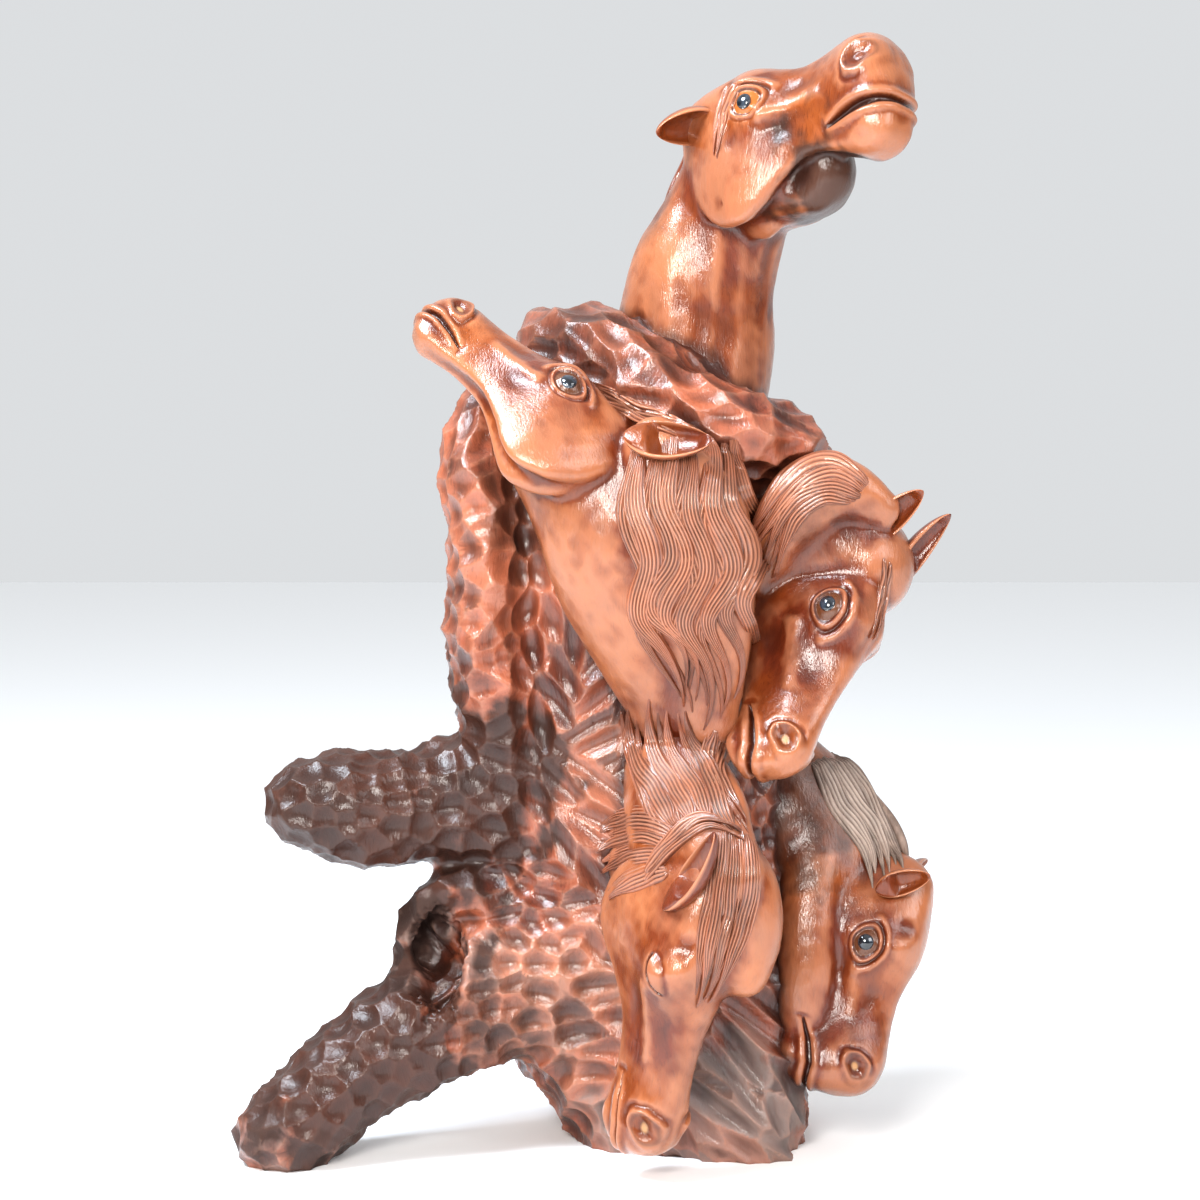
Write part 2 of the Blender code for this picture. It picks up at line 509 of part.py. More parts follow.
def main():
    for old in list(bpy.data.objects):
        bpy.data.objects.remove(old)
    trunk = joined("trunk", [limb(name, **spec) for name, spec in TRUNK_LIMBS.items()])
    modifier(trunk, "REMESH", mode="VOXEL", voxel_size=BODY_VOXEL)
    modifier(trunk, "SMOOTH", factor=0.5, iterations=BODY_SMOOTHING)
    trunk = joined("gouged_trunk", [trunk])
    gouge(trunk, TRUNK_LIMBS)
    forms = [trunk]
    forms += [limb(name, **spec) for name, spec in (NECKS | MANES).items()]
    forms += [horse_head("head_" + name, head) for name, head in HEADS.items()]
    forms += [ear("ear_" + name, **spec) for name, spec in all_ears().items()]
    root = joined("root_forms", forms)
    modifier(root, "REMESH", mode="VOXEL", voxel_size=JOIN_VOXEL)
    root = joined("whole_root", [root])
    modifier(root, "DECIMATE", ratio=ROOT_TRIANGLES / (2 * len(root.data.polygons)))
    root = joined("carved_root", [root])
    stand_flat(root)
    root.data.materials.append(principled("varnished_red_wood", (0.30, 0.105, 0.045), 0.35))
    add_pupils(root)
    origin = bpy.data.objects.new("part_origin", None)
    origin.location = FRAME_SHIFT
    bpy.context.scene.collection.objects.link(origin)
    for obj in bpy.data.objects:
        if obj is not origin:
            obj.parent = origin


main()
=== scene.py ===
import math

import bmesh
import bpy
import numpy as np
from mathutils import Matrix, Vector
from mathutils.bvhtree import BVHTree


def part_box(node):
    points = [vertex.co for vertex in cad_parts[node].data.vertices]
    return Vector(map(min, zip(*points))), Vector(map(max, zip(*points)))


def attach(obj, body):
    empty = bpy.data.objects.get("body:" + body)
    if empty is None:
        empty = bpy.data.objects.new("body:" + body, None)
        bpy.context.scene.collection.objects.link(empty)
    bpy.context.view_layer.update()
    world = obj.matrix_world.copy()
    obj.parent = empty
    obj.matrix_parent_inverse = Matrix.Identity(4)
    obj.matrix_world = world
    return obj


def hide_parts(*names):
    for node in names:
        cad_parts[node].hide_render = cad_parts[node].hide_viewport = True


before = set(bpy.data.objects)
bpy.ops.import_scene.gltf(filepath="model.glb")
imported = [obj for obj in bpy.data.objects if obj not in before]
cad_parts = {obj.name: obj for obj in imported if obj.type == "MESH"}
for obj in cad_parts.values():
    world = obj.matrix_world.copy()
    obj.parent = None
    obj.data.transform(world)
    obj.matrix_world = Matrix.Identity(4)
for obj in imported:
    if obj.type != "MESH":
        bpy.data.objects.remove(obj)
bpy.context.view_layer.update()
print("frame loaded")

# Five horse heads carved from one gouged root. Everything is laid out in metres in a frame of its own, seen
# from the front along +Y, and moved to the part's frame at the end
layoutShift = np.array([0.006, 0.049, 0.0])  # from the layout's origin to the part's
headLength = 0.250  # poll to lips, of a head of scale 1

# Half profile of a horse's head in head lengths, 0 at the poll and 1 at the lips. Each row is
# along, top, brow half width and height, side half width and height, jaw half width and height, chin.
headShape = np.array([
    [-0.100, -0.150, 0.000, -0.150, 0.000, -0.150, 0.000, -0.150, -0.150],
    [-0.075, -0.060, 0.045, -0.080, 0.060, -0.140, 0.045, -0.230, -0.240],
    [-0.020, -0.010, 0.075, -0.040, 0.095, -0.130, 0.070, -0.320, -0.330],
    [0.060, 0.012, 0.095, -0.022, 0.120, -0.130, 0.092, -0.400, -0.395],
    [0.150, 0.025, 0.115, -0.015, 0.140, -0.130, 0.104, -0.440, -0.420],
    [0.240, 0.033, 0.132, -0.012, 0.152, -0.130, 0.105, -0.450, -0.420],
    [0.330, 0.033, 0.145, -0.015, 0.160, -0.120, 0.098, -0.415, -0.385],
    [0.420, 0.018, 0.108, -0.020, 0.143, -0.125, 0.084, -0.355, -0.330],
    [0.530, 0.000, 0.066, -0.026, 0.115, -0.130, 0.070, -0.300, -0.287],
    [0.640, -0.014, 0.054, -0.038, 0.098, -0.134, 0.062, -0.274, -0.272],
    [0.740, -0.022, 0.058, -0.045, 0.096, -0.134, 0.060, -0.266, -0.278],
    [0.830, -0.026, 0.068, -0.050, 0.106, -0.132, 0.064, -0.270, -0.290],
    [0.910, -0.036, 0.068, -0.062, 0.102, -0.140, 0.064, -0.265, -0.285],
    [0.965, -0.064, 0.056, -0.090, 0.082, -0.152, 0.054, -0.248, -0.262],
    [0.995, -0.112, 0.030, -0.130, 0.045, -0.160, 0.030, -0.212, -0.218],
    [1.000, -0.165, 0.000, -0.165, 0.000, -0.165, 0.000, -0.165, -0.165],
])

# One entry per horse, placed in the layout's own frame.
# poll is the top of its head, face the way its face runs and brow the way its forehead looks.
# scale, wide and deep size the head, and muzzle and jowl size its two ends.
# eye, nostril and corner (of the mouth) are places on its side, (along, up) in head lengths.
# eyes lists its open eyes, -1 right and 1 left, and tilt turns the eyes, in degrees.
# gape is how far its mouth is open, lips how far down the mouth's line is at two places on its way, and
# flare the nostrils' size. bare is how much bare wood the nostrils show, amber how yellow its eyeballs are,
# and flutes the height under which its neck is fluted.
# neck, throat, mane and fan are limbs, each a row of stations (centre, half width, half depth).
# An ear has a base, a tip, the way its mouth opens and a width; a mirrored one stands for a pair.
horses = {
    "top": dict(poll=(0.090, 0.000, 0.905), face=(0.80, -0.60, 0.25), brow=(-0.05, 0.35, 0.95),
                scale=0.82, wide=1.10, deep=1.35, muzzle=1.50, jowl=1.10,
                eye=(0.36, -0.11), nostril=(0.90, -0.07), corner=(0.67, -0.25), eyes=(-1, 1), tilt=20,
                gape=0.012, lips=(0.35, 0.70), flare=1.25, amber=1.0, flutes=0.84, bare=0.0,
                neck=[(0.128, -0.010, 0.862, 0.048, 0.045), (0.110, -0.004, 0.810, 0.054, 0.046),
                      (0.088, 0.005, 0.750, 0.064, 0.054), (0.082, 0.012, 0.685, 0.070, 0.060),
                      (0.080, 0.000, 0.600, 0.056, 0.056)],
                throat=[(0.182, -0.082, 0.866, 0.016, 0.020), (0.188, -0.074, 0.853, 0.027, 0.034),
                        (0.184, -0.060, 0.842, 0.034, 0.044), (0.166, -0.042, 0.837, 0.039, 0.050),
                        (0.140, -0.018, 0.833, 0.038, 0.048)],
                mane=[(0.102, 0.020, 0.885, 0.014, 0.022), (0.082, 0.022, 0.830, 0.016, 0.026),
                      (0.062, 0.022, 0.770, 0.018, 0.030), (0.048, 0.020, 0.710, 0.014, 0.026)],
                ears=[dict(base=(0.096, -0.036, 0.884), tip=(0.047, -0.050, 0.880),
                           mouth=(-0.1, -0.80, -0.6), wide=0.038, mirrored=True)]),
    "left": dict(poll=(0.025, -0.130, 0.625), face=(-0.75, 0.30, 0.60), brow=(0.65, 0.55, 0.50),
                 scale=0.80, wide=0.95, deep=1.10, muzzle=1.05, jowl=0.90,
                 eye=(0.29, -0.10), nostril=(0.88, -0.10), corner=(0.74, -0.24), eyes=(1,), tilt=0,
                 neck=[(-0.016, -0.112, 0.600, 0.060, 0.048), (0.010, -0.122, 0.560, 0.068, 0.050),
                       (0.032, -0.122, 0.505, 0.070, 0.050), (0.056, -0.110, 0.440, 0.058, 0.046),
                       (0.080, -0.080, 0.365, 0.040, 0.038)],
                 mane=[(0.046, -0.160, 0.612, 0.030, 0.012), (0.070, -0.160, 0.555, 0.052, 0.024),
                       (0.082, -0.149, 0.475, 0.048, 0.024), (0.092, -0.130, 0.385, 0.026, 0.014)],
                 fan=[(0.070, -0.110, 0.606, 0.030, 0.035), (0.084, -0.110, 0.555, 0.042, 0.052),
                      (0.088, -0.102, 0.475, 0.044, 0.050), (0.094, -0.094, 0.385, 0.028, 0.038)],
                 ears=[dict(base=(0.034, -0.180, 0.624), tip=(0.092, -0.188, 0.620),
                            mouth=(0.05, -0.80, 0.6), wide=0.036)]),
    "right": dict(poll=(0.245, -0.080, 0.520), face=(-0.35, -0.60, -1.00), brow=(0.90, -0.45, 0.00),
                  scale=0.88, wide=0.95, deep=1.50, muzzle=0.85, jowl=1.00,
                  eye=(0.34, -0.06), nostril=(0.87, -0.10), corner=(0.72, -0.24), eyes=(-1, 1), tilt=-10,
                  neck=[(0.080, -0.010, 0.455, 0.056, 0.056), (0.136, -0.030, 0.505, 0.064, 0.058),
                        (0.180, -0.055, 0.530, 0.060, 0.052), (0.222, -0.070, 0.510, 0.048, 0.045)],
                  mane=[(0.240, -0.100, 0.560, 0.016, 0.014), (0.200, -0.105, 0.578, 0.028, 0.020),
                        (0.160, -0.100, 0.552, 0.030, 0.020), (0.136, -0.090, 0.495, 0.014, 0.012)],
                  ears=[dict(base=(0.232, -0.100, 0.540), tip=(0.272, -0.108, 0.577),
                             mouth=(0.1, -0.9, -0.3), wide=0.028),
                        dict(base=(0.260, -0.078, 0.505), tip=(0.298, -0.070, 0.555),
                             mouth=(0.5, -0.7, -0.4), wide=0.028)]),
    "front": dict(poll=(0.110, -0.205, 0.260), face=(-0.20, 0.05, -1.00), brow=(0.75, -0.65, -0.20),
                  scale=1.00, wide=0.95, deep=1.00, muzzle=1.05, jowl=0.80,
                  eye=(0.35, -0.12), nostril=(0.88, -0.08), corner=(0.72, -0.24), eyes=(), tilt=26,
                  gape=0.003,
                  neck=[(0.060, -0.070, 0.345, 0.040, 0.040), (0.070, -0.120, 0.300, 0.050, 0.042),
                        (0.084, -0.150, 0.255, 0.054, 0.046), (0.095, -0.165, 0.205, 0.052, 0.046)],
                  mane=[(0.070, -0.100, 0.405, 0.016, 0.008), (0.066, -0.112, 0.372, 0.028, 0.010),
                        (0.072, -0.138, 0.332, 0.042, 0.014), (0.085, -0.174, 0.300, 0.044, 0.018),
                        (0.108, -0.200, 0.266, 0.028, 0.018)],
                  fan=[(0.084, -0.160, 0.262, 0.034, 0.026), (0.050, -0.130, 0.258, 0.034, 0.024),
                       (0.024, -0.104, 0.254, 0.024, 0.014)],
                  throat=[(0.120, -0.186, 0.278, 0.014, 0.018), (0.128, -0.186, 0.250, 0.021, 0.024),
                          (0.128, -0.184, 0.215, 0.024, 0.028), (0.120, -0.180, 0.180, 0.022, 0.028)],
                  ears=[dict(base=(0.062, -0.212, 0.250), tip=(0.096, -0.236, 0.304),
                             mouth=(-0.80, -0.35, 0.50), wide=0.034),
                        dict(base=(0.128, -0.188, 0.240), tip=(0.124, -0.200, 0.286),
                             mouth=(-0.3, 0.9, 0.0), wide=0.024)]),
    "low": dict(poll=(0.290, -0.050, 0.230), face=(-0.30, -0.25, -0.90), brow=(0.95, -0.20, -0.25),
                scale=0.80, wide=1.00, deep=1.35, muzzle=1.35, jowl=0.95,
                eye=(0.35, -0.14), nostril=(0.86, -0.06), corner=(0.72, -0.27), eyes=(-1, 1), tilt=-10,
                neck=[(0.094, 0.005, 0.362, 0.050, 0.048), (0.152, -0.004, 0.305, 0.060, 0.053),
                      (0.188, -0.020, 0.245, 0.060, 0.050), (0.205, -0.030, 0.190, 0.055, 0.045)],
                throat=[(0.190, -0.030, 0.285, 0.030, 0.030), (0.184, -0.052, 0.225, 0.032, 0.032),
                        (0.178, -0.066, 0.170, 0.029, 0.034), (0.176, -0.072, 0.120, 0.026, 0.030),
                        (0.176, -0.074, 0.078, 0.020, 0.022)],
                mane=[(0.178, 0.000, 0.345, 0.012, 0.018), (0.200, -0.008, 0.318, 0.018, 0.026),
                      (0.228, -0.016, 0.280, 0.018, 0.026), (0.254, -0.030, 0.242, 0.012, 0.018)],
                ears=[dict(base=(0.246, -0.086, 0.234), tip=(0.283, -0.092, 0.246),
                           mouth=(0.1, -0.9, -0.2), wide=0.024),
                      dict(base=(0.272, -0.036, 0.232), tip=(0.288, 0.008, 0.242),
                           mouth=(0.5, 0.8, 0.1), wide=0.022)]),
}
# What a horse has unless its own entry says otherwise
usualHorse = dict(gape=0.008, lips=(0.55, 0.97), flare=1.0, bare=1.0, amber=0.45)
horses = {name: {**usualHorse, **own} for name, own in horses.items()}

# The stump, its swellings and its roots: how boxy the section is (2 is an ellipse), and the stations
# (centre, half width, half depth)
trunkLimbs = {
    "trunk": (2.4, [
        (0.055, 0.010, 0.640, 0.085, 0.080), (0.036, 0.010, 0.585, 0.135, 0.105),
        (0.026, 0.010, 0.490, 0.130, 0.105), (0.024, 0.010, 0.390, 0.122, 0.100),
        (0.036, 0.010, 0.300, 0.135, 0.108), (0.040, 0.012, 0.210, 0.140, 0.115),
        (0.048, 0.015, 0.130, 0.140, 0.120), (0.070, 0.020, 0.060, 0.118, 0.118),
        (0.085, 0.025, -0.050, 0.095, 0.110)]),
    "chest": (2.2, [
        (-0.040, -0.005, 0.655, 0.040, 0.060), (0.045, -0.030, 0.630, 0.060, 0.075),
        (0.140, -0.010, 0.585, 0.045, 0.070)]),
    "shoulder": (2.0, [
        (-0.038, -0.005, 0.700, 0.030, 0.040), (0.002, -0.040, 0.692, 0.036, 0.046),
        (0.055, -0.075, 0.654, 0.034, 0.045), (0.110, -0.085, 0.630, 0.034, 0.045),
        (0.155, -0.050, 0.612, 0.036, 0.050), (0.162, -0.010, 0.560, 0.042, 0.055)]),
    "rib": (2.0, [
        (-0.095, -0.020, 0.655, 0.024, 0.040), (-0.106, -0.040, 0.605, 0.030, 0.050),
        (-0.098, -0.050, 0.530, 0.032, 0.055), (-0.098, -0.050, 0.445, 0.034, 0.055),
        (-0.082, -0.040, 0.365, 0.034, 0.050), (-0.062, -0.025, 0.300, 0.040, 0.050)]),
    "upperRoot": (2.8, [
        (-0.010, 0.005, 0.305, 0.085, 0.080), (-0.090, -0.025, 0.305, 0.062, 0.060),
        (-0.160, -0.045, 0.300, 0.047, 0.050), (-0.215, -0.065, 0.300, 0.046, 0.048),
        (-0.250, -0.080, 0.305, 0.038, 0.040)]),
    "lowerRoot": (2.4, [
        (0.020, 0.000, 0.165, 0.105, 0.095), (-0.070, -0.030, 0.150, 0.085, 0.070),
        (-0.130, -0.055, 0.122, 0.058, 0.058), (-0.200, -0.085, 0.080, 0.045, 0.050),
        (-0.275, -0.110, 0.022, 0.038, 0.046)]),
    "knotRim": (2.0, [
        (-0.172, -0.060, 0.165, 0.010, 0.016), (-0.160, -0.068, 0.200, 0.015, 0.022),
        (-0.132, -0.066, 0.228, 0.018, 0.026), (-0.095, -0.055, 0.222, 0.026, 0.030)]),
    "leftToe": (2.4, [
        (0.045, 0.060, 0.120, 0.090, 0.070), (0.035, 0.080, 0.050, 0.070, 0.060),
        (0.025, 0.090, -0.040, 0.050, 0.050)]),
    "rightToe": (2.4, [
        (0.090, -0.010, 0.190, 0.088, 0.080), (0.108, -0.030, 0.110, 0.080, 0.080),
        (0.120, -0.058, 0.040, 0.062, 0.066), (0.132, -0.070, -0.040, 0.048, 0.055)]),
}


# Catmull-Rom curve through rows, one row a point, read at the parameters u from 0 to len(rows) - 1
def smoothRows(rows, u):
    i = np.clip(np.floor(u).astype(int), 0, len(rows) - 2)
    t = (u - i)[:, None]
    before, start = rows[np.maximum(i - 1, 0)], rows[i]
    end, after = rows[i + 1], rows[np.minimum(i + 2, len(rows) - 1)]
    return 0.5 * (2 * start + (end - before) * t + (2 * before - 5 * start + 4 * end - after) * t**2
                  + (3 * start - before - 3 * end + after) * t**3)


# 0 below low, 1 above high, smooth between
def ramp(a, low, high):
    t = np.clip((a - low) / (high - low), 0, 1)
    return t * t * (3 - 2 * t)


# 1 at no distance, falling off as a bell of that width
def bell(distance, width):
    return np.exp(-((distance / width) ** 2))


# Vectors of length 1
def unit(v):
    v = np.asarray(v, float)
    return v / np.maximum(np.linalg.norm(v, axis=-1, keepdims=True), 1e-9)


# Running mean along the first axis, over that many neighbours each way
def evened(values, reach):
    padded = np.concatenate([np.repeat(values[:1], reach, 0), values, np.repeat(values[-1:], reach, 0)])
    return np.mean([padded[k:k + len(values)] for k in range(2 * reach + 1)], axis=0)


# Smooth lumps from -1 to 1: sums of sines along six random directions, each octave half as long as the last
# and 1 / 1.8 as strong
def lumps(points, size, seed, octaves=3):
    rng = np.random.default_rng(seed)
    total = np.zeros(points.shape[:-1])
    for octave in range(octaves):
        ways = unit(rng.normal(size=(6, 3))) * rng.uniform(0.6, 1.4, (6, 1)) * 2 * math.pi * 2**octave / size
        total += np.sin(points @ ways.T + rng.uniform(0, 6.28, 6)).sum(-1) / 3.0 / 1.8**octave
    return np.clip(total / 1.7, -1, 1)


# Mesh object from arrays; faces is a list of arrays, each with one face's corners in a row
def meshObject(name, points, faces, smooth=True):
    mesh = bpy.data.meshes.new(name)
    mesh.vertices.add(len(points))
    mesh.vertices.foreach_set("co", np.asarray(points, np.float32).ravel())
    corners = np.concatenate([np.asarray(f, np.int32).ravel() for f in faces])
    sizes = np.concatenate([np.full(len(f), np.asarray(f).shape[1]) for f in faces])
    mesh.loops.add(len(corners))
    mesh.loops.foreach_set("vertex_index", corners)
    mesh.polygons.add(len(sizes))
    mesh.polygons.foreach_set("loop_start", np.concatenate([[0], np.cumsum(sizes)[:-1]]))
    mesh.update(calc_edges=True)
    if smooth:
        mesh.shade_smooth()
    obj = bpy.data.objects.new(name, mesh)
    bpy.context.scene.collection.objects.link(obj)
    return obj


# One row of three numbers for each item
def readVectors(items, key):
    flat = np.empty(len(items) * 3, np.float32)
    items.foreach_get(key, flat)
    return flat.reshape(-1, 3).astype(float)


def meshPoints(mesh):
    return readVectors(mesh.vertices, "co")


def meshNormals(mesh):
    return readVectors(mesh.vertex_normals, "vector")


def movePoints(mesh, points):
    mesh.vertices.foreach_set("co", points.astype(np.float32).ravel())
    mesh.update()


def storeAttribute(mesh, name, values):
    layer = mesh.attributes.new(name, "FLOAT", "POINT")
    layer.data.foreach_set("value", np.asarray(values, np.float32))


# How far each point lies below the mean of its neighbourhood, in units of full: from 1 in a hollow to -1
# on an edge
def hollows(mesh, rounds, full):
    ends = np.empty(len(mesh.edges) * 2, np.int32)
    mesh.edges.foreach_get("vertices", ends)
    first, second = ends.reshape(-1, 2).T
    points = meshPoints(mesh)
    mean, count = points, np.bincount(ends, minlength=len(points))[:, None]
    for _ in range(rounds):
        sums = [np.bincount(first, mean[second, k], len(points))
                + np.bincount(second, mean[first, k], len(points)) for k in range(3)]
        mean = np.stack(sums, -1) / count
    return np.clip(((mean - points) * meshNormals(mesh)).sum(1) / full, -1, 1)


# 1 where a point touches one of the trees' surfaces, falling to 0 at reach from all of them
def nearness(points, trees, reach):
    gaps = [[tree.find_nearest(Vector(point), reach)[3] for point in points] for tree in trees]
    gaps = np.array([[reach if gap is None else gap for gap in row] for row in gaps]).min(0)
    return 1 - ramp(gaps, 0.0, reach)


def modifier(obj, kind, **settings):
    added = obj.modifiers.new(kind.title(), kind)
    for key, value in settings.items():
        setattr(added, key, value)
    return added


# The object with its modifiers applied
def applied(obj):
    bpy.context.view_layer.update()
    graph = bpy.context.evaluated_depsgraph_get()
    mesh = bpy.data.meshes.new_from_object(obj.evaluated_get(graph), depsgraph=graph)
    obj.modifiers.clear()
    old, obj.data = obj.data, mesh
    bpy.data.meshes.remove(old)
    return obj


# The object decimated to about that many triangles; nearly all of its faces have four corners
def thinned(obj, triangles):
    modifier(obj, "DECIMATE", ratio=min(1.0, triangles / (2 * len(obj.data.polygons))))
    return applied(obj)


# Several objects as one mesh; the attributes named in keep go with it, 0 where a piece has none
def joined(name, pieces, keep=()):
    points, faces, first = [], {3: [], 4: []}, 0
    others, kept = [], {key: [] for key in keep}
    for piece in pieces:
        mesh = piece.data
        points.append(meshPoints(mesh))
        sizes = np.empty(len(mesh.polygons), np.int32)
        corners = np.empty(len(mesh.loops), np.int32)
        mesh.polygons.foreach_get("loop_total", sizes)
        mesh.loops.foreach_get("vertex_index", corners)
        starts = np.concatenate([[0], np.cumsum(sizes)[:-1]])
        for count in (3, 4):
            which = starts[sizes == count]
            faces[count].append(corners[which[:, None] + np.arange(count)] + first)
        for start, size in zip(starts[sizes > 4], sizes[sizes > 4]):
            others.append(corners[start:start + size][None] + first)
        for key in keep:
            values = np.zeros(len(mesh.vertices), np.float32)
            if key in mesh.attributes:
                mesh.attributes[key].data.foreach_get("value", values)
            kept[key].append(values)
        first += len(mesh.vertices)
    groups = [np.concatenate(faces[count]) for count in (3, 4)] + others
    result = meshObject(name, np.concatenate(points), [g for g in groups if len(g)])
    for key in keep:
        storeAttribute(result.data, key, np.concatenate(kept[key]))
    for piece in pieces:
        bpy.data.objects.remove(piece)
    return result


# Closed tube through rings of points, [ring, around, xyz]; the ends are filled with one face each
def tubeObject(name, rings):
    count, around = rings.shape[:2]
    i, j = np.meshgrid(np.arange(count - 1), np.arange(around), indexing="ij")
    a, b = i * around + j, i * around + (j + 1) % around
    quads = np.stack([a, b, b + around, a + around], -1).reshape(-1, 4)
    points = rings.reshape(-1, 3)
    sides = points[quads[:, 2]] - points[quads[:, 0]], points[quads[:, 3]] - points[quads[:, 1]]
    volume = np.einsum("ij,ij->", points[quads[:, 0]] - points.mean(0), np.cross(*sides))
    faces = [quads, np.arange(around)[None, ::-1], np.arange((count - 1) * around, count * around)[None]]
    if volume < 0:
        faces = [face[:, ::-1] for face in faces]
    return meshObject(name, points, faces)


capRings = 5  # rings that close a limb's end


# Tube along a smooth curve: each section is a superellipse, wide across the front view and deep
# along it, and the ends close along a quarter circle
def limbRings(stations, square=2.0, steps=9, around=28):
    rows = np.array(stations, float)
    r = smoothRows(rows, np.linspace(0, len(rows) - 1, (len(rows) - 1) * steps + 1))
    turn = np.linspace(0, 0.49 * math.pi, capRings + 1)[1:, None]
    centre, half = r[:, :3], r[:, 3:]
    along = unit(np.gradient(centre, axis=0))
    first = centre[0] - along[0] * half[0, 0] * np.sin(turn[::-1])
    last = centre[-1] + along[-1] * half[-1, 0] * np.sin(turn)
    centre = np.concatenate([first, centre, last])
    half = np.concatenate([half[0] * np.cos(turn[::-1]), half, half[-1] * np.cos(turn)])
    along = np.concatenate([np.repeat(along[:1], capRings, 0), along, np.repeat(along[-1:], capRings, 0)])
    front = np.array([0.0, -1.0, 0.0])
    deepWay = unit(front - (along @ front)[:, None] * along)
    wideWay = np.cross(along, deepWay)
    angle = np.linspace(0, 2 * math.pi, around, endpoint=False)
    ringWide = np.sign(np.cos(angle)) * np.abs(np.cos(angle)) ** (2 / square)
    ringDeep = np.sign(np.sin(angle)) * np.abs(np.sin(angle)) ** (2 / square)
    across = ringWide[None, :, None] * wideWay[:, None] * half[:, :1, None]
    through = ringDeep[None, :, None] * deepWay[:, None] * half[:, 1:, None]
    return centre[:, None] + across + through


# Columns: the head's face, left and brow directions
def headAxes(horse):
    face = unit(horse["face"])
    brow = np.array(horse["brow"], float)
    brow = unit(brow - (brow @ face) * face)
    return np.column_stack([face, np.cross(brow, face), brow])


# How long one head length is in the world, along each of the head's axes
def headSize(horse):
    return headLength * horse["scale"] * np.array([1.0, horse["wide"], horse["deep"]])


# From the head's axes in head lengths to the layout, and back
def headToWorld(horse, points):
    return np.array(horse["poll"]) + (points * headSize(horse)) @ headAxes(horse).T


def worldToHead(horse, points):
    return (points - np.array(horse["poll"])) @ headAxes(horse) / headSize(horse)


# Places and heights on every head, in head lengths. A form has a height, a middle (along, up) and its half
# length and half height.
skull = {
    "muzzleMiddle": -0.155,  # height about which the muzzle swells
    "jowl": (0.25, 0.25),  # where the jaw is widest, and over what length
    "muzzleFrom": (0.50, 0.85),  # where the muzzle's swelling starts and is whole
    "side": (0.02, 0.06),  # distance from the middle plane at which carving on the side fades in
    "cheekbone": [(0.40, -0.155), (0.50, -0.150), (0.64, -0.135)],
    "forms": {"cheek": (0.022, (0.19, -0.27), (0.15, 0.14)),
              "underCheekbone": (-0.012, (0.47, -0.215), (0.06, 0.03)),
              "temple": (-0.016, (0.235, -0.035), (0.045, 0.03)),
              "besideNose": (-0.010, (0.56, -0.085), (0.07, 0.025))},
    "eyeSocket": (0.026, (0.085, 0.085)),  # a form with the eye in its middle
    "nostrilPad": (0.016, (0.075, 0.055)),  # a form with the nostril in its middle
    "chin": (0.012, (0.885, -0.28), (0.045, 0.03)),
}


# Rings of a plain head, with the face along +X, its left side +Y and its brow +Z: at each station a smooth
# closed curve through top, brow, side, jaw and chin, the jaw widened by the jowl's bell, and the muzzle
# scaled about its middle height
def headRings(horse, alongCount=110, aroundCount=88):
    r = smoothRows(headShape, np.linspace(0, len(headShape) - 1, alongCount))
    x, top, browW, browZ, sideW, sideZ, jawW, jawZ, chin = r.T
    jawW = jawW * (1 + (horse["jowl"] - 1) * bell(x - skull["jowl"][0], skull["jowl"][1]))
    none = np.zeros_like(x)
    halfRing = [(none, top), (browW, browZ), (sideW, sideZ), (jawW, jawZ), (none, chin)]
    ring = halfRing + [(-y, z) for y, z in halfRing[3:0:-1]]
    ring = [ring[-1]] + ring + ring[:2]
    around = np.linspace(1, 9, aroundCount, endpoint=False)
    y = smoothRows(np.array([point[0] for point in ring]), around).T
    z = smoothRows(np.array([point[1] for point in ring]), around).T
    swell = 1 + (horse["muzzle"] - 1) * ramp(x, *skull["muzzleFrom"])[:, None]
    z = skull["muzzleMiddle"] + (z - skull["muzzleMiddle"]) * swell
    return np.stack([np.repeat(x[:, None], aroundCount, 1), y * swell, z], -1)


# Distance from (x, z) to a line of points, and the share of the way along it
def lineDistance(x, z, points):
    best, share = np.full(x.shape, 9.0), np.zeros(x.shape)
    for k, (a, b) in enumerate(zip(points, points[1:])):
        dx, dz = b[0] - a[0], b[1] - a[1]
        t = np.clip(((x - a[0]) * dx + (z - a[1]) * dz) / (dx * dx + dz * dz), 0, 1)
        distance = np.hypot(x - a[0] - t * dx, z - a[1] - t * dz)
        share = np.where(distance < best, (k + t) / (len(points) - 1), share)
        best = np.minimum(distance, best)
    return best, share


# Oval bell on the head's side: 1 at its middle, falling off over its half length and half height
def ovalBell(x, z, middle, half):
    return bell(np.hypot((x - middle[0]) / half[0], (z - middle[1]) / half[1]), 1.0)


# Broad forms of the skull, as heights along the normal: cheekbone, cheek, temple, eye socket, muzzle, chin
def skullForms(horse, x, y, z):
    bone, share = lineDistance(x, z, skull["cheekbone"])
    height = 0.018 * bell(bone, 0.024) * (1 - 0.6 * share)
    for rise, middle, half in skull["forms"].values():
        height += rise * ovalBell(x, z, middle, half)
    for key, middle in (("eyeSocket", horse["eye"]), ("nostrilPad", horse["nostril"])):
        rise, half = skull[key]
        height += rise * ovalBell(x, z, middle, half)
    rise, middle, half = skull["chin"]
    return height * ramp(np.abs(y), *skull["side"]) + rise * ovalBell(x, z, middle, half)


# The line between the lips, from the corner of the mouth to its front
def lipLine(horse):
    x, z = horse["corner"]
    front = skull["muzzleMiddle"] - 0.039 * horse["muzzle"]
    first, second = horse["lips"]
    return [(x, z), (x + 0.3 * (1 - x), z + first * (front - z)),
            (x + 0.65 * (1 - x), z + second * (front - z)), (1.03, front)]


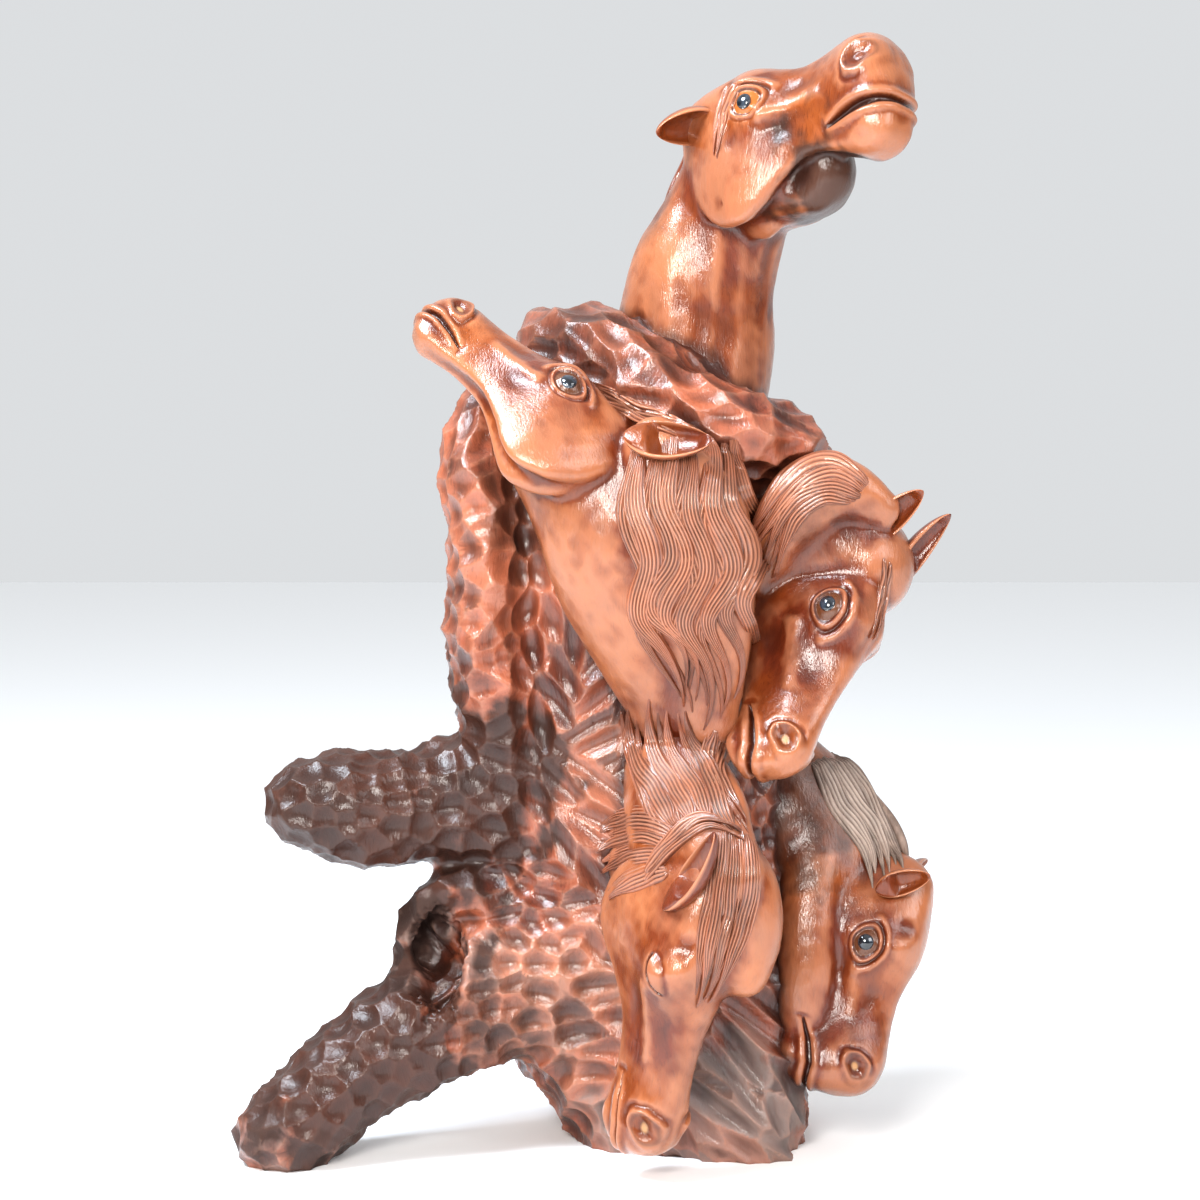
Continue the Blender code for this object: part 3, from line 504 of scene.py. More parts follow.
# Fine carving, in head lengths; half sizes are a half length and a half height
eyeForm = {
    "open": (0.068, 0.056),  # half size of the lids' opening
    "sunk": 0.024,  # how deep the eyeball's edge lies
    "round": 0.032,  # how far the eyeball's middle comes out again
    "lidRise": (0.005, 0.007),  # of the lower lid, and how much more of the upper one
    "crease": (0.002, 0.008),  # depth under the lower lid, and how much more over the upper one
    "browRise": 0.009,
    "closedRise": 0.012,  # of the lid over a closed eye
    "slit": 0.015,  # depth of the line between closed lids
}
nostrilForm = {
    "turn": 35,  # degrees
    "half": (0.060, 0.046),  # half size of the hole
    "rimRise": 0.011,
    "pit": 0.026,
    "groove": 0.005,  # depth of the groove behind the rim
}
mouthForm = {
    "cut": 0.014,  # depth of the line between the lips, and gape's share is added to it
    "lipRise": 0.012,
    "cornerDip": (-0.006, (0.012, 0.02)),
}


# Places measured from a middle on the head's side, along and across a line turned by that many degrees
def turnedAbout(horse, x, z, middle, degrees):
    turn = math.radians(degrees)
    dx, dz = x - middle[0], (z - middle[1]) * horse["deep"]
    return dx * math.cos(turn) + dz * math.sin(turn), -dx * math.sin(turn) + dz * math.cos(turn)


# Open eye: a ball in an almond opening, a low lid under it and a bold one over it, a crease beyond each and
# a raised brow. almond is 1 on the opening's edge, and over is 1 above the eye and 0 below it. The result
# is the height, how deep in shade it is and how much of it is eyeball
def openEye(p, q):
    halfLong, halfHigh = eyeForm["open"]
    almond = ((np.abs(p) / halfLong) ** 1.6 + (np.abs(q) / halfHigh) ** 1.8) ** (1 / 1.7)
    ball = 1 - ramp(almond, 0.86, 1.0)
    height = ball * (-eyeForm["sunk"] + eyeForm["round"] * np.sqrt(np.maximum(1 - 0.85 * almond**2, 0)))
    over = ramp(q, -0.025, 0.025)
    lid, upperLid = eyeForm["lidRise"]
    height += (lid + upperLid * over) * bell(almond - 1.13 - 0.05 * over, 0.10 + 0.04 * over)
    crease, upperCrease = eyeForm["crease"]
    height -= (crease + upperCrease * over) * bell(almond - 1.40 - 0.06 * over, 0.09)
    height += eyeForm["browRise"] * bell(almond - 1.80, 0.22) * over
    shade = bell(almond - 0.97, 0.06) + (0.3 + 0.5 * over) * bell(almond - 1.42 - 0.06 * over, 0.06)
    return height, shade, ball


# Closed eye: a domed lid with a slit along the curve q = 5 p^2 - 0.016, and a soft fold and a crease that
# bend the other way over it
def closedEye(p, q):
    dome = ((np.abs(p) / 0.074) ** 1.6 + (np.abs(q) / 0.044) ** 1.6) ** (1 / 1.6)
    height = eyeForm["closedRise"] * bell(dome, 0.9)
    slit = bell(q + 0.016 - 5.0 * p * p, 0.0060) * (1 - ramp(np.abs(p), 0.058, 0.078))
    fold = bell(q - 0.016 + 3.0 * p * p, 0.022) * (1 - ramp(np.abs(p), 0.045, 0.075))
    crease = bell(q - 0.048 + 4.0 * p * p, 0.012) * (1 - ramp(np.abs(p), 0.05, 0.09))
    height += 0.004 * fold - eyeForm["slit"] * slit - 0.004 * crease
    return height, slit, np.zeros_like(p)


# Nostril: a comma-shaped rim round a pit, with a groove behind it. hole is 1 on the pit's edge. The result
# is the height, how deep in shade it is and how bare the wood is
def nostrilHole(horse, x, z):
    p, q = turnedAbout(horse, x, z, horse["nostril"], nostrilForm["turn"])
    p, q = p / horse["flare"], q / horse["flare"]
    halfLong, halfHigh = nostrilForm["half"]
    hole = np.hypot(p / halfLong, (q + 2.4 * p * p) / halfHigh)
    hole += 0.05 * np.sin(70 * p + 1.0) * np.sin(90 * q)
    pit = 1 - ramp(hole, 0.35, 0.95)
    back = 0.15 + 0.85 * ramp(-p / 0.06 + 0.6 * q / 0.05, -0.6, 0.6)  # the rim is boldest towards the eye
    height = nostrilForm["rimRise"] * back * bell(hole - 1.08, 0.16) - nostrilForm["pit"] * pit
    height -= nostrilForm["groove"] * back * bell(hole - 1.55, 0.20)
    shade = 0.6 * bell(hole - 0.88, 0.10) + 0.25 * back * bell(hole - 1.50, 0.12) + 0.25 * pit
    return height, shade, 0.9 * (1 - ramp(hole, 0.20, 0.50)) * horse["bare"]


# Mouth: a cut between two rounded lips, widest at 0.6 of its way. The result is the height, and how much of
# it is the cut
def mouthCut(horse, x, z):
    lips, share = lineDistance(x, z, lipLine(horse))
    gape = horse["gape"] * (0.35 + 0.65 * bell(share - 0.6, 0.45))
    cut = np.where(lips < 0.6 * gape, 1.0, bell(lips - 0.6 * gape, 0.5 * gape)) * ramp(share, 0.0, 0.12)
    height = -(mouthForm["cut"] + 1.6 * gape) * cut
    height += mouthForm["lipRise"] * bell(lips - gape - 0.015, 0.013) * ramp(share, 0.05, 0.4)
    dip, half = mouthForm["cornerDip"]
    return height + dip * ovalBell(x, z, horse["corner"], half), cut


# Fine carving, as heights along the normal; how deep in shade and how bare the wood is there, and
# how much of it is eyeball
def fineForms(horse, x, y, z):
    side = ramp(np.abs(y), *skull["side"])
    eye = openEye if horse["eyes"] else closedEye
    eyeHeight, eyeShade, ball = eye(*turnedAbout(horse, x, z, horse["eye"], horse["tilt"]))
    nostrilHeight, nostrilShade, bare = nostrilHole(horse, x, z)
    mouthHeight, cut = mouthCut(horse, x, z)
    height = (eyeHeight + nostrilHeight) * side + mouthHeight
    shade = np.clip((eyeShade + nostrilShade) * side + cut, 0, 1)
    return height, shade, bare * side, ball * side


earForm = {
    "rings": 60,
    "around": 36,  # points on each half of a section
    "widest": 0.30,  # of the way from the base to the tip
}


# Leaf-shaped cup: every section is a crescent that opens towards mouth. taper is 0 at its widest section
# and nearly 1 at both ends, and the half width falls off as (1 - taper^n) ^ 0.62, n being 1.7 towards the
# tip and 2.4 towards the base
def earRings(base, tip, mouth, wide):
    rings, around, widest = earForm["rings"], earForm["around"], earForm["widest"]
    base, up = np.array(base), np.array(tip) - np.array(base)
    length = np.linalg.norm(up)
    up = up / length
    mouth = np.array(mouth, float)
    mouth = unit(mouth - (mouth @ up) * up)
    across = np.cross(up, mouth)
    share = np.linspace(-0.25, 1.0, rings)
    taper = np.where(share > widest, (share - widest) / 0.702, (widest - share) / 0.56)
    leaf = 0.5 * wide * np.clip(1 - taper ** np.where(share > widest, 1.7, 2.4), 0.004, 1) ** 0.62
    hollow = (ramp(share, 0.02, 0.30) * ramp(1 - share, 0.01, 0.22))[:, None]
    angle = np.linspace(0, math.pi, around, endpoint=False)
    back = np.stack([np.cos(angle), -np.sin(angle)], 1)[None].repeat(rings, 0)
    innerWide = -0.90 * np.cos(angle)[None].repeat(rings, 0)
    innerDeep = 0.30 * np.sin(angle) * (1 - hollow) + hollow * (0.12 - 0.88 * np.sin(angle) ** 0.8)
    ring = np.concatenate([back, np.stack([innerWide, innerDeep], -1)], 1) * leaf[:, None, None]
    bend = 0.10 * length * (share - widest) ** 2  # the tip curls a little towards the opening
    centre = base + up * (length * share)[:, None] + mouth * bend[:, None]
    return centre[:, None] + ring[..., :1] * across + 0.95 * ring[..., 1:] * mouth


# 1 along an ear's edge, 0 elsewhere, in the order of its rings' points
def earRim():
    angle = np.linspace(0, math.pi, earForm["around"], endpoint=False)
    return np.tile(bell(np.sin(np.concatenate([angle, angle])), 0.22), earForm["rings"])


horseMesh = {
    "neckVoxel": 0.004,  # grid on which a neck's limbs grow together
    "neckRounds": 14,
    "voxel": 0.0017,  # grid on which the head joins them
    "softReach": 0.014,  # how far from their join the surface is softened
    "softRounds": 60,
    "carvedFrom": (0.05, 0.12),  # where behind the poll the carving fades in, in head lengths
    "fineReach": {"eye": 0.125, "nostril": 0.095},  # round which the mesh is finer, in head lengths
    "lipsReach": 0.03,
    "toolWave": 0.0006,  # unevenness left by the scraper
    "waveLong": 0.05,
    "fluteDepth": 0.0016,
    "fluteWide": 0.045,
    "triangles": 62000,
    "hollow": (14, 0.0007),  # rounds and depth of the painted shade in hollows and painted highlight on edges
}


# Weight 1 where a point is near both parts, and 0 farther than reach from either
def jointWeights(obj, parts, reach):
    count = len(obj.data.vertices)
    for k, part in enumerate(parts):
        group = obj.vertex_groups.new(name="near" + str(k))
        group.add(range(count), 1.0, "REPLACE")
        modifier(obj, "VERTEX_WEIGHT_PROXIMITY", vertex_group=group.name, target=part, min_dist=reach,
                 max_dist=0.0, proximity_mode="GEOMETRY", proximity_geometry={"FACE"}, falloff_type="SMOOTH")
    modifier(obj, "VERTEX_WEIGHT_MIX", vertex_group_a="near0", vertex_group_b="near1", mix_set="ALL",
             mix_mode="MUL")


# Neck, throat, the body of the mane and its fan, where the horse has them, grown together
def makeNeck(horse):
    keys = [key for key in ("neck", "throat", "mane", "fan") if key in horse]
    neck = joined("neckForm", [tubeObject("neckLimb", limbRings(horse[key], 2.2)) for key in keys])
    modifier(neck, "REMESH", mode="VOXEL", voxel_size=horseMesh["neckVoxel"])
    modifier(neck, "SMOOTH", factor=0.5, iterations=horseMesh["neckRounds"])
    return applied(neck)


# A horse's plain form: head and neck grown together, and softened where they meet
def growHorse(name, horse):
    rings = headRings(horse)
    normal = unit(np.cross(np.gradient(rings, axis=0), np.roll(rings, -1, 1) - np.roll(rings, 1, 1)))
    rings = rings + normal * skullForms(horse, rings[..., 0], rings[..., 1], rings[..., 2])[..., None]
    head = tubeObject("headForm", headToWorld(horse, rings))
    neck = makeNeck(horse)
    copies = [piece.copy() for piece in (head, neck)]
    for piece in copies:
        piece.data = piece.data.copy()
        bpy.context.scene.collection.objects.link(piece)
    whole = joined(name + "Horse", copies)
    modifier(whole, "REMESH", mode="VOXEL", voxel_size=horseMesh["voxel"])
    applied(whole)
    jointWeights(whole, (head, neck), horseMesh["softReach"])
    modifier(whole, "SMOOTH", factor=0.5, iterations=horseMesh["softRounds"], vertex_group="near0")
    applied(whole)
    whole.vertex_groups.clear()
    bpy.data.objects.remove(head)
    bpy.data.objects.remove(neck)
    return whole


# One horse: its plain form, finely carved along the normals, with the values that its wood reads
def makeHorse(name, horse):
    whole = growHorse(name, horse)
    refineDetails(whole, horse)
    mesh = whole.data
    points, normals = meshPoints(mesh), meshNormals(mesh)
    local = worldToHead(horse, points)
    inHead = ramp(local[:, 0], *horseMesh["carvedFrom"])
    height, shade, bare, ball = fineForms(horse, *local.T)
    height = height * inHead * headLength * horse["scale"]
    height += horseMesh["toolWave"] * lumps(points, horseMesh["waveLong"], 11) * (1 - ball)
    if "flutes" in horse:
        below = ramp(horse["flutes"] - points[:, 2], 0.0, 0.03)
        upright = points * np.array([1.0, 1.0, 0.13])  # stretches the lumps into flutes
        height += horseMesh["fluteDepth"] * below * lumps(upright, horseMesh["fluteWide"], 15, 2)
    movePoints(mesh, points + normals * height[:, None])
    for key, values in (("shade", shade), ("bare", bare), ("ball", ball * horse["amber"])):
        storeAttribute(mesh, key, values * inHead)
    thinned(whole, horseMesh["triangles"])
    storeAttribute(whole.data, "hollow", hollows(whole.data, *horseMesh["hollow"]))
    whole.data.shade_smooth()
    return whole


# Faces near the eyes, nostrils and mouth are cut into quarters so that the carving there is crisp
def refineDetails(obj, horse):
    mesh = obj.data
    x, y, z = worldToHead(horse, meshPoints(mesh)).T
    near = [np.hypot(x - horse[key][0], z - horse[key][1]) < reach
            for key, reach in horseMesh["fineReach"].items()]
    lips = lineDistance(x, z, lipLine(horse))[0] < horseMesh["lipsReach"]
    lips &= x > horse["corner"][0] - horseMesh["lipsReach"]
    wanted = np.any(near, axis=0) & (np.abs(y) > skull["side"][0]) | lips
    shape = bmesh.new()
    shape.from_mesh(mesh)
    shape.edges.ensure_lookup_table()
    ends = np.empty(len(mesh.edges) * 2, np.int32)
    mesh.edges.foreach_get("vertices", ends)
    chosen = np.flatnonzero(wanted[ends.reshape(-1, 2)].all(1))
    bmesh.ops.subdivide_edges(shape, edges=[shape.edges[k] for k in chosen], cuts=1, use_grid_fill=True,
                              smooth=0.0)
    shape.to_mesh(mesh)
    shape.free()


# A horse's ears, each mirrored one with its image across the head's middle plane
def makeEars(name, horse):
    ears = []
    for k, ear in enumerate(horse["ears"]):
        base, tip, mouth = (np.array(ear[key], float) for key in ("base", "tip", "mouth"))
        ears.append(tubeObject("ear" + str(k), earRings(base, tip, mouth, ear["wide"])))
        if ear.get("mirrored"):
            across = headAxes(horse)[:, 1]
            flip = np.eye(3) - 2 * np.outer(across, across)
            poll = np.array(horse["poll"])
            base, tip = (poll + flip @ (end - poll) for end in (base, tip))
            ears.append(tubeObject("earFar", earRings(base, tip, flip @ mouth, ear["wide"])))
    for ear in ears:
        storeAttribute(ear.data, "rim", earRim())
    return joined(name + "Ears", ears, ("rim",))


pupil = {
    "radius": 0.0068,
    "rise": 0.0024,
    "sunk": 0.004,
    "edge": 0.0008,  # how much lower its rounded edge is
    "look": 0.10,  # how far it looks forward and up, of its look to the side
    "search": 0.012,  # how far off the eyeball's surface may be
}


def pupilNode(name, side):
    return "pupil_" + name + ("_right" if side < 0 else "_left")


# Where a pupil of the part is, in its horse's head lengths
def pupilPlace(node, horse):
    return worldToHead(horse, np.mean(np.array(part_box(node)), axis=0) - layoutShift)


# Polished pupil let into an eyeball: a low dome with a rounded edge on a short plug, turned about its look.
# The height over the edge is rise x (1 - (distance from the middle / radius) squared). It lies on the
# eyeball's surface, in the middle of the eye's opening
def makePupil(name, node, horse, side, horseTree):
    look = unit(headAxes(horse) @ unit([pupil["look"], side, pupil["look"]]))
    place = pupilPlace(node, horse)
    place[0], place[2] = horse["eye"]
    middle = headToWorld(horse, place)
    hit = horseTree.ray_cast(Vector(middle + pupil["search"] * look), Vector(-look), 2 * pupil["search"])[0]
    centre = middle if hit is None else np.array(hit)
    share = np.linspace(1, 0.02, 14)
    radius = np.concatenate([[0.02, 1, 1], share]) * pupil["radius"]
    dome = pupil["rise"] * (1 - share**2) - pupil["edge"] * bell(1 - share, 0.06)
    height = np.concatenate([[-pupil["sunk"], -pupil["sunk"], -pupil["edge"]], dome])
    across = unit(np.cross(look, [0.0, 0.0, 1.0]))
    turn = np.linspace(0, 2 * math.pi, 40, endpoint=False)[:, None]
    circle = np.cos(turn) * across + np.sin(turn) * np.cross(look, across)
    return tubeObject(name, centre + radius[:, None, None] * circle + height[:, None, None] * look)


gouging = {
    "blendVoxel": 0.007,  # grid on which the stump's limbs grow together
    "blendRounds": 12,
    "swell": 0.003,  # unevenness of the root under the cuts
    "finest": 2,  # how often that grid is halved before the gouging
    "triangles": 192000,
    "depth": 0.0108,  # of a whole bowl, of which neighbours leave about a quarter standing
    "leastDepth": 0.3,  # share of that depth that is cut away even on the ridges
    "spacing": 0.0205,  # along the grain
    "narrow": 0.84,  # across it, of the spacing
    "tilt": 0.75,  # how much deeper a cut ends than it starts
    "closest": 0.72,  # squared distance of two starts, in units of the cut's own length and width
    "sway": 0.22,  # how far cuts turn off the grain
    "reversed": 0.06,  # share of them that run the other way
    "uneven": (0.8, 1.2),  # range of their depths
    "reach": 1.7,  # how far from its start a bowl is looked at, of its length
    "flat": 0.012,  # how far off its own plane a bowl keeps its depth
    "steep": 0.3,  # how fast it gets shallower beyond that
    "ridge": 0.0005,  # difference of two bowls at which their ridge fades
    "hollow": (5, 0.0016),  # rounds and depth of the painted shade in hollows and painted highlight on edges
    "seed": 7,
}


# Points along every limb's centre, and the way the limb runs there
def grainSamples():
    places, ways = [], []
    for _, stations in trunkLimbs.values():
        rows = np.array(stations)[:, :3]
        centre = smoothRows(rows, np.linspace(0, len(rows) - 1, 8 * len(rows)))
        places.append(centre)
        ways.append(unit(np.gradient(centre, axis=0)))
    return np.concatenate(places), np.concatenate(ways)


# Size, direction and depth of the gouge cuts at each point. The cuts follow the nearest limb's grain, but
# for these zones: long upright flutes in the middle of the front, slanting cuts low on its right side,
# bands across its low middle, longer cuts round the shoulders, and wide shallow ones behind
def cutStyle(points):
    x, y, z = points.T
    places, ways = grainSamples()
    chunks = np.array_split(points, max(1, len(points) // 2000))
    nearest = np.concatenate([((chunk[:, None] - places) ** 2).sum(-1).argmin(1) for chunk in chunks])
    way = ways[nearest].copy()
    front = ramp(-y, 0.02, 0.06)
    flutes = front * bell((x - 0.002) / 0.050, 1.0) * bell((z - 0.380) / 0.13, 1.0)
    slant = front * ramp(x, 0.055, 0.080) * ramp(0.16 - z, 0.0, 0.04)
    bands = front * bell((x + 0.010) / 0.035, 1.0) * bell((z - 0.12) / 0.08, 1.0)
    way = way + flutes[:, None] * np.array([0.05, 0.0, 1.5])
    for zone, run in ((slant, [0.8, 0.0, -0.6]), (bands, [0.95, 0.0, 0.25])):
        way = way * (1 - zone[:, None]) + zone[:, None] * np.array(run)
    length = np.full(len(points), gouging["spacing"])
    width = length * gouging["narrow"]
    depth = np.ones(len(points))
    zones = [  # share of each point in the zone, and how much longer, wider and deeper its cuts are
        (flutes, 0.058, -0.002, -0.25),
        (slant, 0.040, 0.0, 0.20),
        (bands, 0.008, 0.0, 0.10),
        (ramp(z, 0.60, 0.64), 0.012, 0.0, 0.0),
        (ramp(y, 0.03, 0.08), 0.018, 0.012, -0.35),
    ]
    for zone, longer, wider, deeper in zones:
        length, width, depth = length + zone * longer, width + zone * wider, depth + zone * deeper
    return length, width, unit(way), gouging["depth"] * depth


# Gouge cuts scattered so that no two starts are closer than about a cut's own size. Their depths go with
# their smaller size x (length / width) ^ 0.4
def scatterCuts(points, normals, length, width, way, depth):
    rng = np.random.default_rng(gouging["seed"])
    free = np.ones(len(points), bool)
    picks = []
    for k in rng.permutation(len(points)):
        if free[k]:
            picks.append(k)
            offset = points - points[k]
            direction = unit(way[k] - (way[k] @ normals[k]) * normals[k])
            along, rise = offset @ direction, offset @ normals[k]
            acrossSquare = np.maximum((offset**2).sum(1) - along**2 - rise**2, 0)
            near = (along / length[k]) ** 2 + acrossSquare / width[k] ** 2 < gouging["closest"]
            free &= ~(near & (np.abs(rise) < length[k]))
    picks = np.array(picks)
    normal, length, width = normals[picks], length[picks], width[picks]
    direction = unit(way[picks] - (way[picks] * normal).sum(1)[:, None] * normal)
    turn = rng.normal(0, gouging["sway"], len(picks))[:, None]
    direction = unit(direction * np.cos(turn) + np.cross(normal, direction) * np.sin(turn))
    direction *= np.where(rng.random(len(picks)) < gouging["reversed"], -1, 1)[:, None]
    deep = depth[picks] * np.minimum(width, length) / gouging["spacing"] * (length / width) ** 0.4
    return dict(place=points[picks], normal=normal, direction=direction, length=length, width=width,
                deep=deep * rng.uniform(*gouging["uneven"], len(picks)), tone=rng.random(len(picks)))


# Depth of the cuts: at each point the deepest bowl wins, a bowl being
# depth x (1 - along^2 - across^2 + tilt x along). Also how near a ridge it is, and the bowl's tone
def cutSurface(points, cuts):
    order = np.argsort(points[:, 2])
    p = points[order]
    best, second = np.full(len(p), -1.0), np.full(len(p), -1.0)
    tone = np.full(len(p), 0.5)
    for k in range(len(cuts["place"])):
        place, normal, direction = cuts["place"][k], cuts["normal"][k], cuts["direction"][k]
        reach = gouging["reach"] * cuts["length"][k]
        a, b = np.searchsorted(p[:, 2], (place[2] - reach, place[2] + reach))
        offset = p[a:b] - place
        inside = np.abs(offset[:, 0]) < reach
        inside &= np.abs(offset[:, 1]) < reach
        index = a + np.flatnonzero(inside)
        offset = p[index] - place
        along, rise = offset @ direction, offset @ normal
        across = (offset**2).sum(1) - along**2 - rise**2
        along = along / cuts["length"][k]
        bowl = 1 - along**2 - across / cuts["width"][k] ** 2 + gouging["tilt"] * along
        bowl = cuts["deep"][k] * bowl - gouging["steep"] * np.maximum(np.abs(rise) - gouging["flat"], 0)
        wins = bowl > best[index]
        second[index] = np.maximum(second[index], np.minimum(bowl, best[index]))
        tone[index] = np.where(wins, cuts["tone"][k], tone[index])
        best[index] = np.maximum(best[index], bowl)
    back = np.empty(len(p), int)
    back[order] = np.arange(len(p))
    ridge = bell(np.maximum(best - second, 0), gouging["ridge"])
    return best[back], ridge[back], tone[back]


knot = {"centre": (-0.140, -0.105, 0.172), "size": (0.026, 0.065, 0.048), "depth": 0.028}

# Where the stump has weathered grey, where it is painted paler as a painted highlight, and where it is
# darker with
# dark stain and painted shade: a seed for the patches' edges, and each patch's centre, reach and strength
stumpPatches = {
    "grey": (21, [
        ((-0.270, -0.115, 0.020), 0.050, 0.6), ((-0.165, -0.080, 0.190), 0.050, 0.9),
        ((-0.115, -0.105, 0.175), 0.035, 0.5), ((0.020, -0.090, 0.030), 0.050, 0.6),
        ((0.110, -0.110, 0.030), 0.100, 0.9), ((0.060, 0.120, 0.030), 0.120, 0.6),
        ((-0.040, 0.100, 0.300), 0.090, 0.4)]),
    # paler patches painted as highlight
    "paleHighlight": (22, [
        ((-0.050, -0.110, 0.130), 0.080, 0.5), ((-0.115, -0.080, 0.530), 0.090, 0.15),
        ((0.020, -0.110, 0.330), 0.060, 0.4), ((-0.030, -0.110, 0.060), 0.050, 0.4)]),
    "stainAndShade": (23, [
        ((-0.230, -0.070, 0.290), 0.150, 1.4), ((-0.120, -0.070, 0.320), 0.100, 1.0),
        ((-0.210, -0.090, 0.080), 0.130, 1.1), ((-0.110, -0.080, 0.110), 0.070, 0.6),
        ((-0.010, -0.060, 0.680), 0.080, 0.5), ((-0.060, -0.080, 0.560), 0.060, 0.5),
        ((0.090, -0.110, 0.700), 0.060, 0.4)]),
}
# The same for the darker patches on the horses' throats and necks, the first of them painted shade under the
# top horse's jaw
horsePatches = (24, [
    ((0.195, -0.085, 0.842), 0.060, 0.9), ((0.165, -0.050, 0.290), 0.080, 0.6),
    ((0.065, 0.000, 0.800), 0.045, 0.4), ((0.180, -0.110, 0.560), 0.050, 0.4)])


# How much of those patches a point is in, their edges broken up by lumps
def patches(points, seed, places):
    total = np.zeros(len(points))
    broken = 0.35 * lumps(points, 0.05, seed, 4)
    for centre, reach, strength in places:
        away = np.linalg.norm(points - centre, axis=1) / reach
        total = np.maximum(total, strength * (1 - ramp(away + broken, 0.5, 1.25)))
    return total


# 0 in the middle of the knot hole, 1 at its edge
def knotPit(points):
    return np.linalg.norm((points - knot["centre"]) / knot["size"], axis=1)


# The stump: its limbs grown together, gouged all over, hollowed at the knot and cut flat underneath
def makeTrunk():
    forms = [tubeObject(name, limbRings(stations, square))
             for name, (square, stations) in trunkLimbs.items()]
    trunk = joined("gougedTrunk", forms)
    modifier(trunk, "REMESH", mode="VOXEL", voxel_size=gouging["blendVoxel"])
    modifier(trunk, "SMOOTH", factor=0.5, iterations=gouging["blendRounds"])
    applied(trunk)
    points, normals = meshPoints(trunk.data), meshNormals(trunk.data)
    cuts = scatterCuts(points, normals, *cutStyle(points))
    print("gouge cuts:", len(cuts["place"]))
    movePoints(trunk.data, points + normals * (gouging["swell"] * lumps(points, 0.13, 3))[:, None])
    modifier(trunk, "SUBSURF", levels=gouging["finest"], render_levels=gouging["finest"])
    applied(trunk)
    points, normals = meshPoints(trunk.data), meshNormals(trunk.data)
    depth = np.clip(cutSurface(points, cuts)[0], gouging["leastDepth"] * gouging["depth"], None)
    depth -= depth.mean()
    rough = lumps(points, 0.014, 5)
    depth += knot["depth"] * (1 - ramp(knotPit(points) + 0.12 * rough, 0.55, 1.05))
    movePoints(trunk.data, points - normals * depth[:, None])
    thinned(trunk, gouging["triangles"])
    standFlat(trunk)
    mesh = trunk.data
    points = meshPoints(mesh)
    ridge, tone = cutSurface(points, cuts)[1:]
    storeAttribute(mesh, "ridge", ridge)
    storeAttribute(mesh, "tone", tone)
    storeAttribute(mesh, "shade", 0.8 * (1 - ramp(knotPit(points), 0.5, 1.0)))
    for key, (seed, places) in stumpPatches.items():
        storeAttribute(mesh, key, patches(points, seed, places))
    storeAttribute(mesh, "hollow", hollows(mesh, *gouging["hollow"]))
    mesh.shade_smooth()
    return trunk


# Cuts away what is below the floor and closes the feet with flat faces
def standFlat(obj):
    shape = bmesh.new()
    shape.from_mesh(obj.data)
    every = shape.verts[:] + shape.edges[:] + shape.faces[:]
    bmesh.ops.bisect_plane(shape, geom=every, dist=1e-6, plane_co=(0, 0, 0), plane_no=(0, 0, 1),
                           clear_inner=True)
    bmesh.ops.holes_fill(shape, edges=[edge for edge in shape.edges if edge.is_boundary])
    bmesh.ops.triangulate(shape, faces=[face for face in shape.faces if len(face.verts) > 4])
    shape.to_mesh(obj.data)
    shape.free()


# The camera, which looks a little down at the layout
studio = {
    "distance": 3.0,
    "pitch": 5.0,  # degrees
    "aim": 0.474,  # height
    "lens": 102.6,  # mm
    "sensor": 36,  # mm
}
pitch = math.radians(studio["pitch"])
aimPlace = np.array([0.0, 0.0, studio["aim"]])
cameraPlace = aimPlace + studio["distance"] * np.array([0.0, -math.cos(pitch), math.sin(pitch)])

hair = {
    "strand": 0.0031,  # width of one carved strand
    "groove": 0.0025,  # depth of the cut between two strands
    "edge": 0.0015,  # how much lower a lock's edges lie than its middle
    "perStrand": 5,  # points across a strand
    "step": 0.0028,  # between sections along a lock
    "wave": 0.13,  # from one bend of a lock to the next but one
    "second": 0.0022,  # how much higher every second lock lies
    "under": 0.005,  # how far a lock's underside is sunk
    "seed": 12,
}

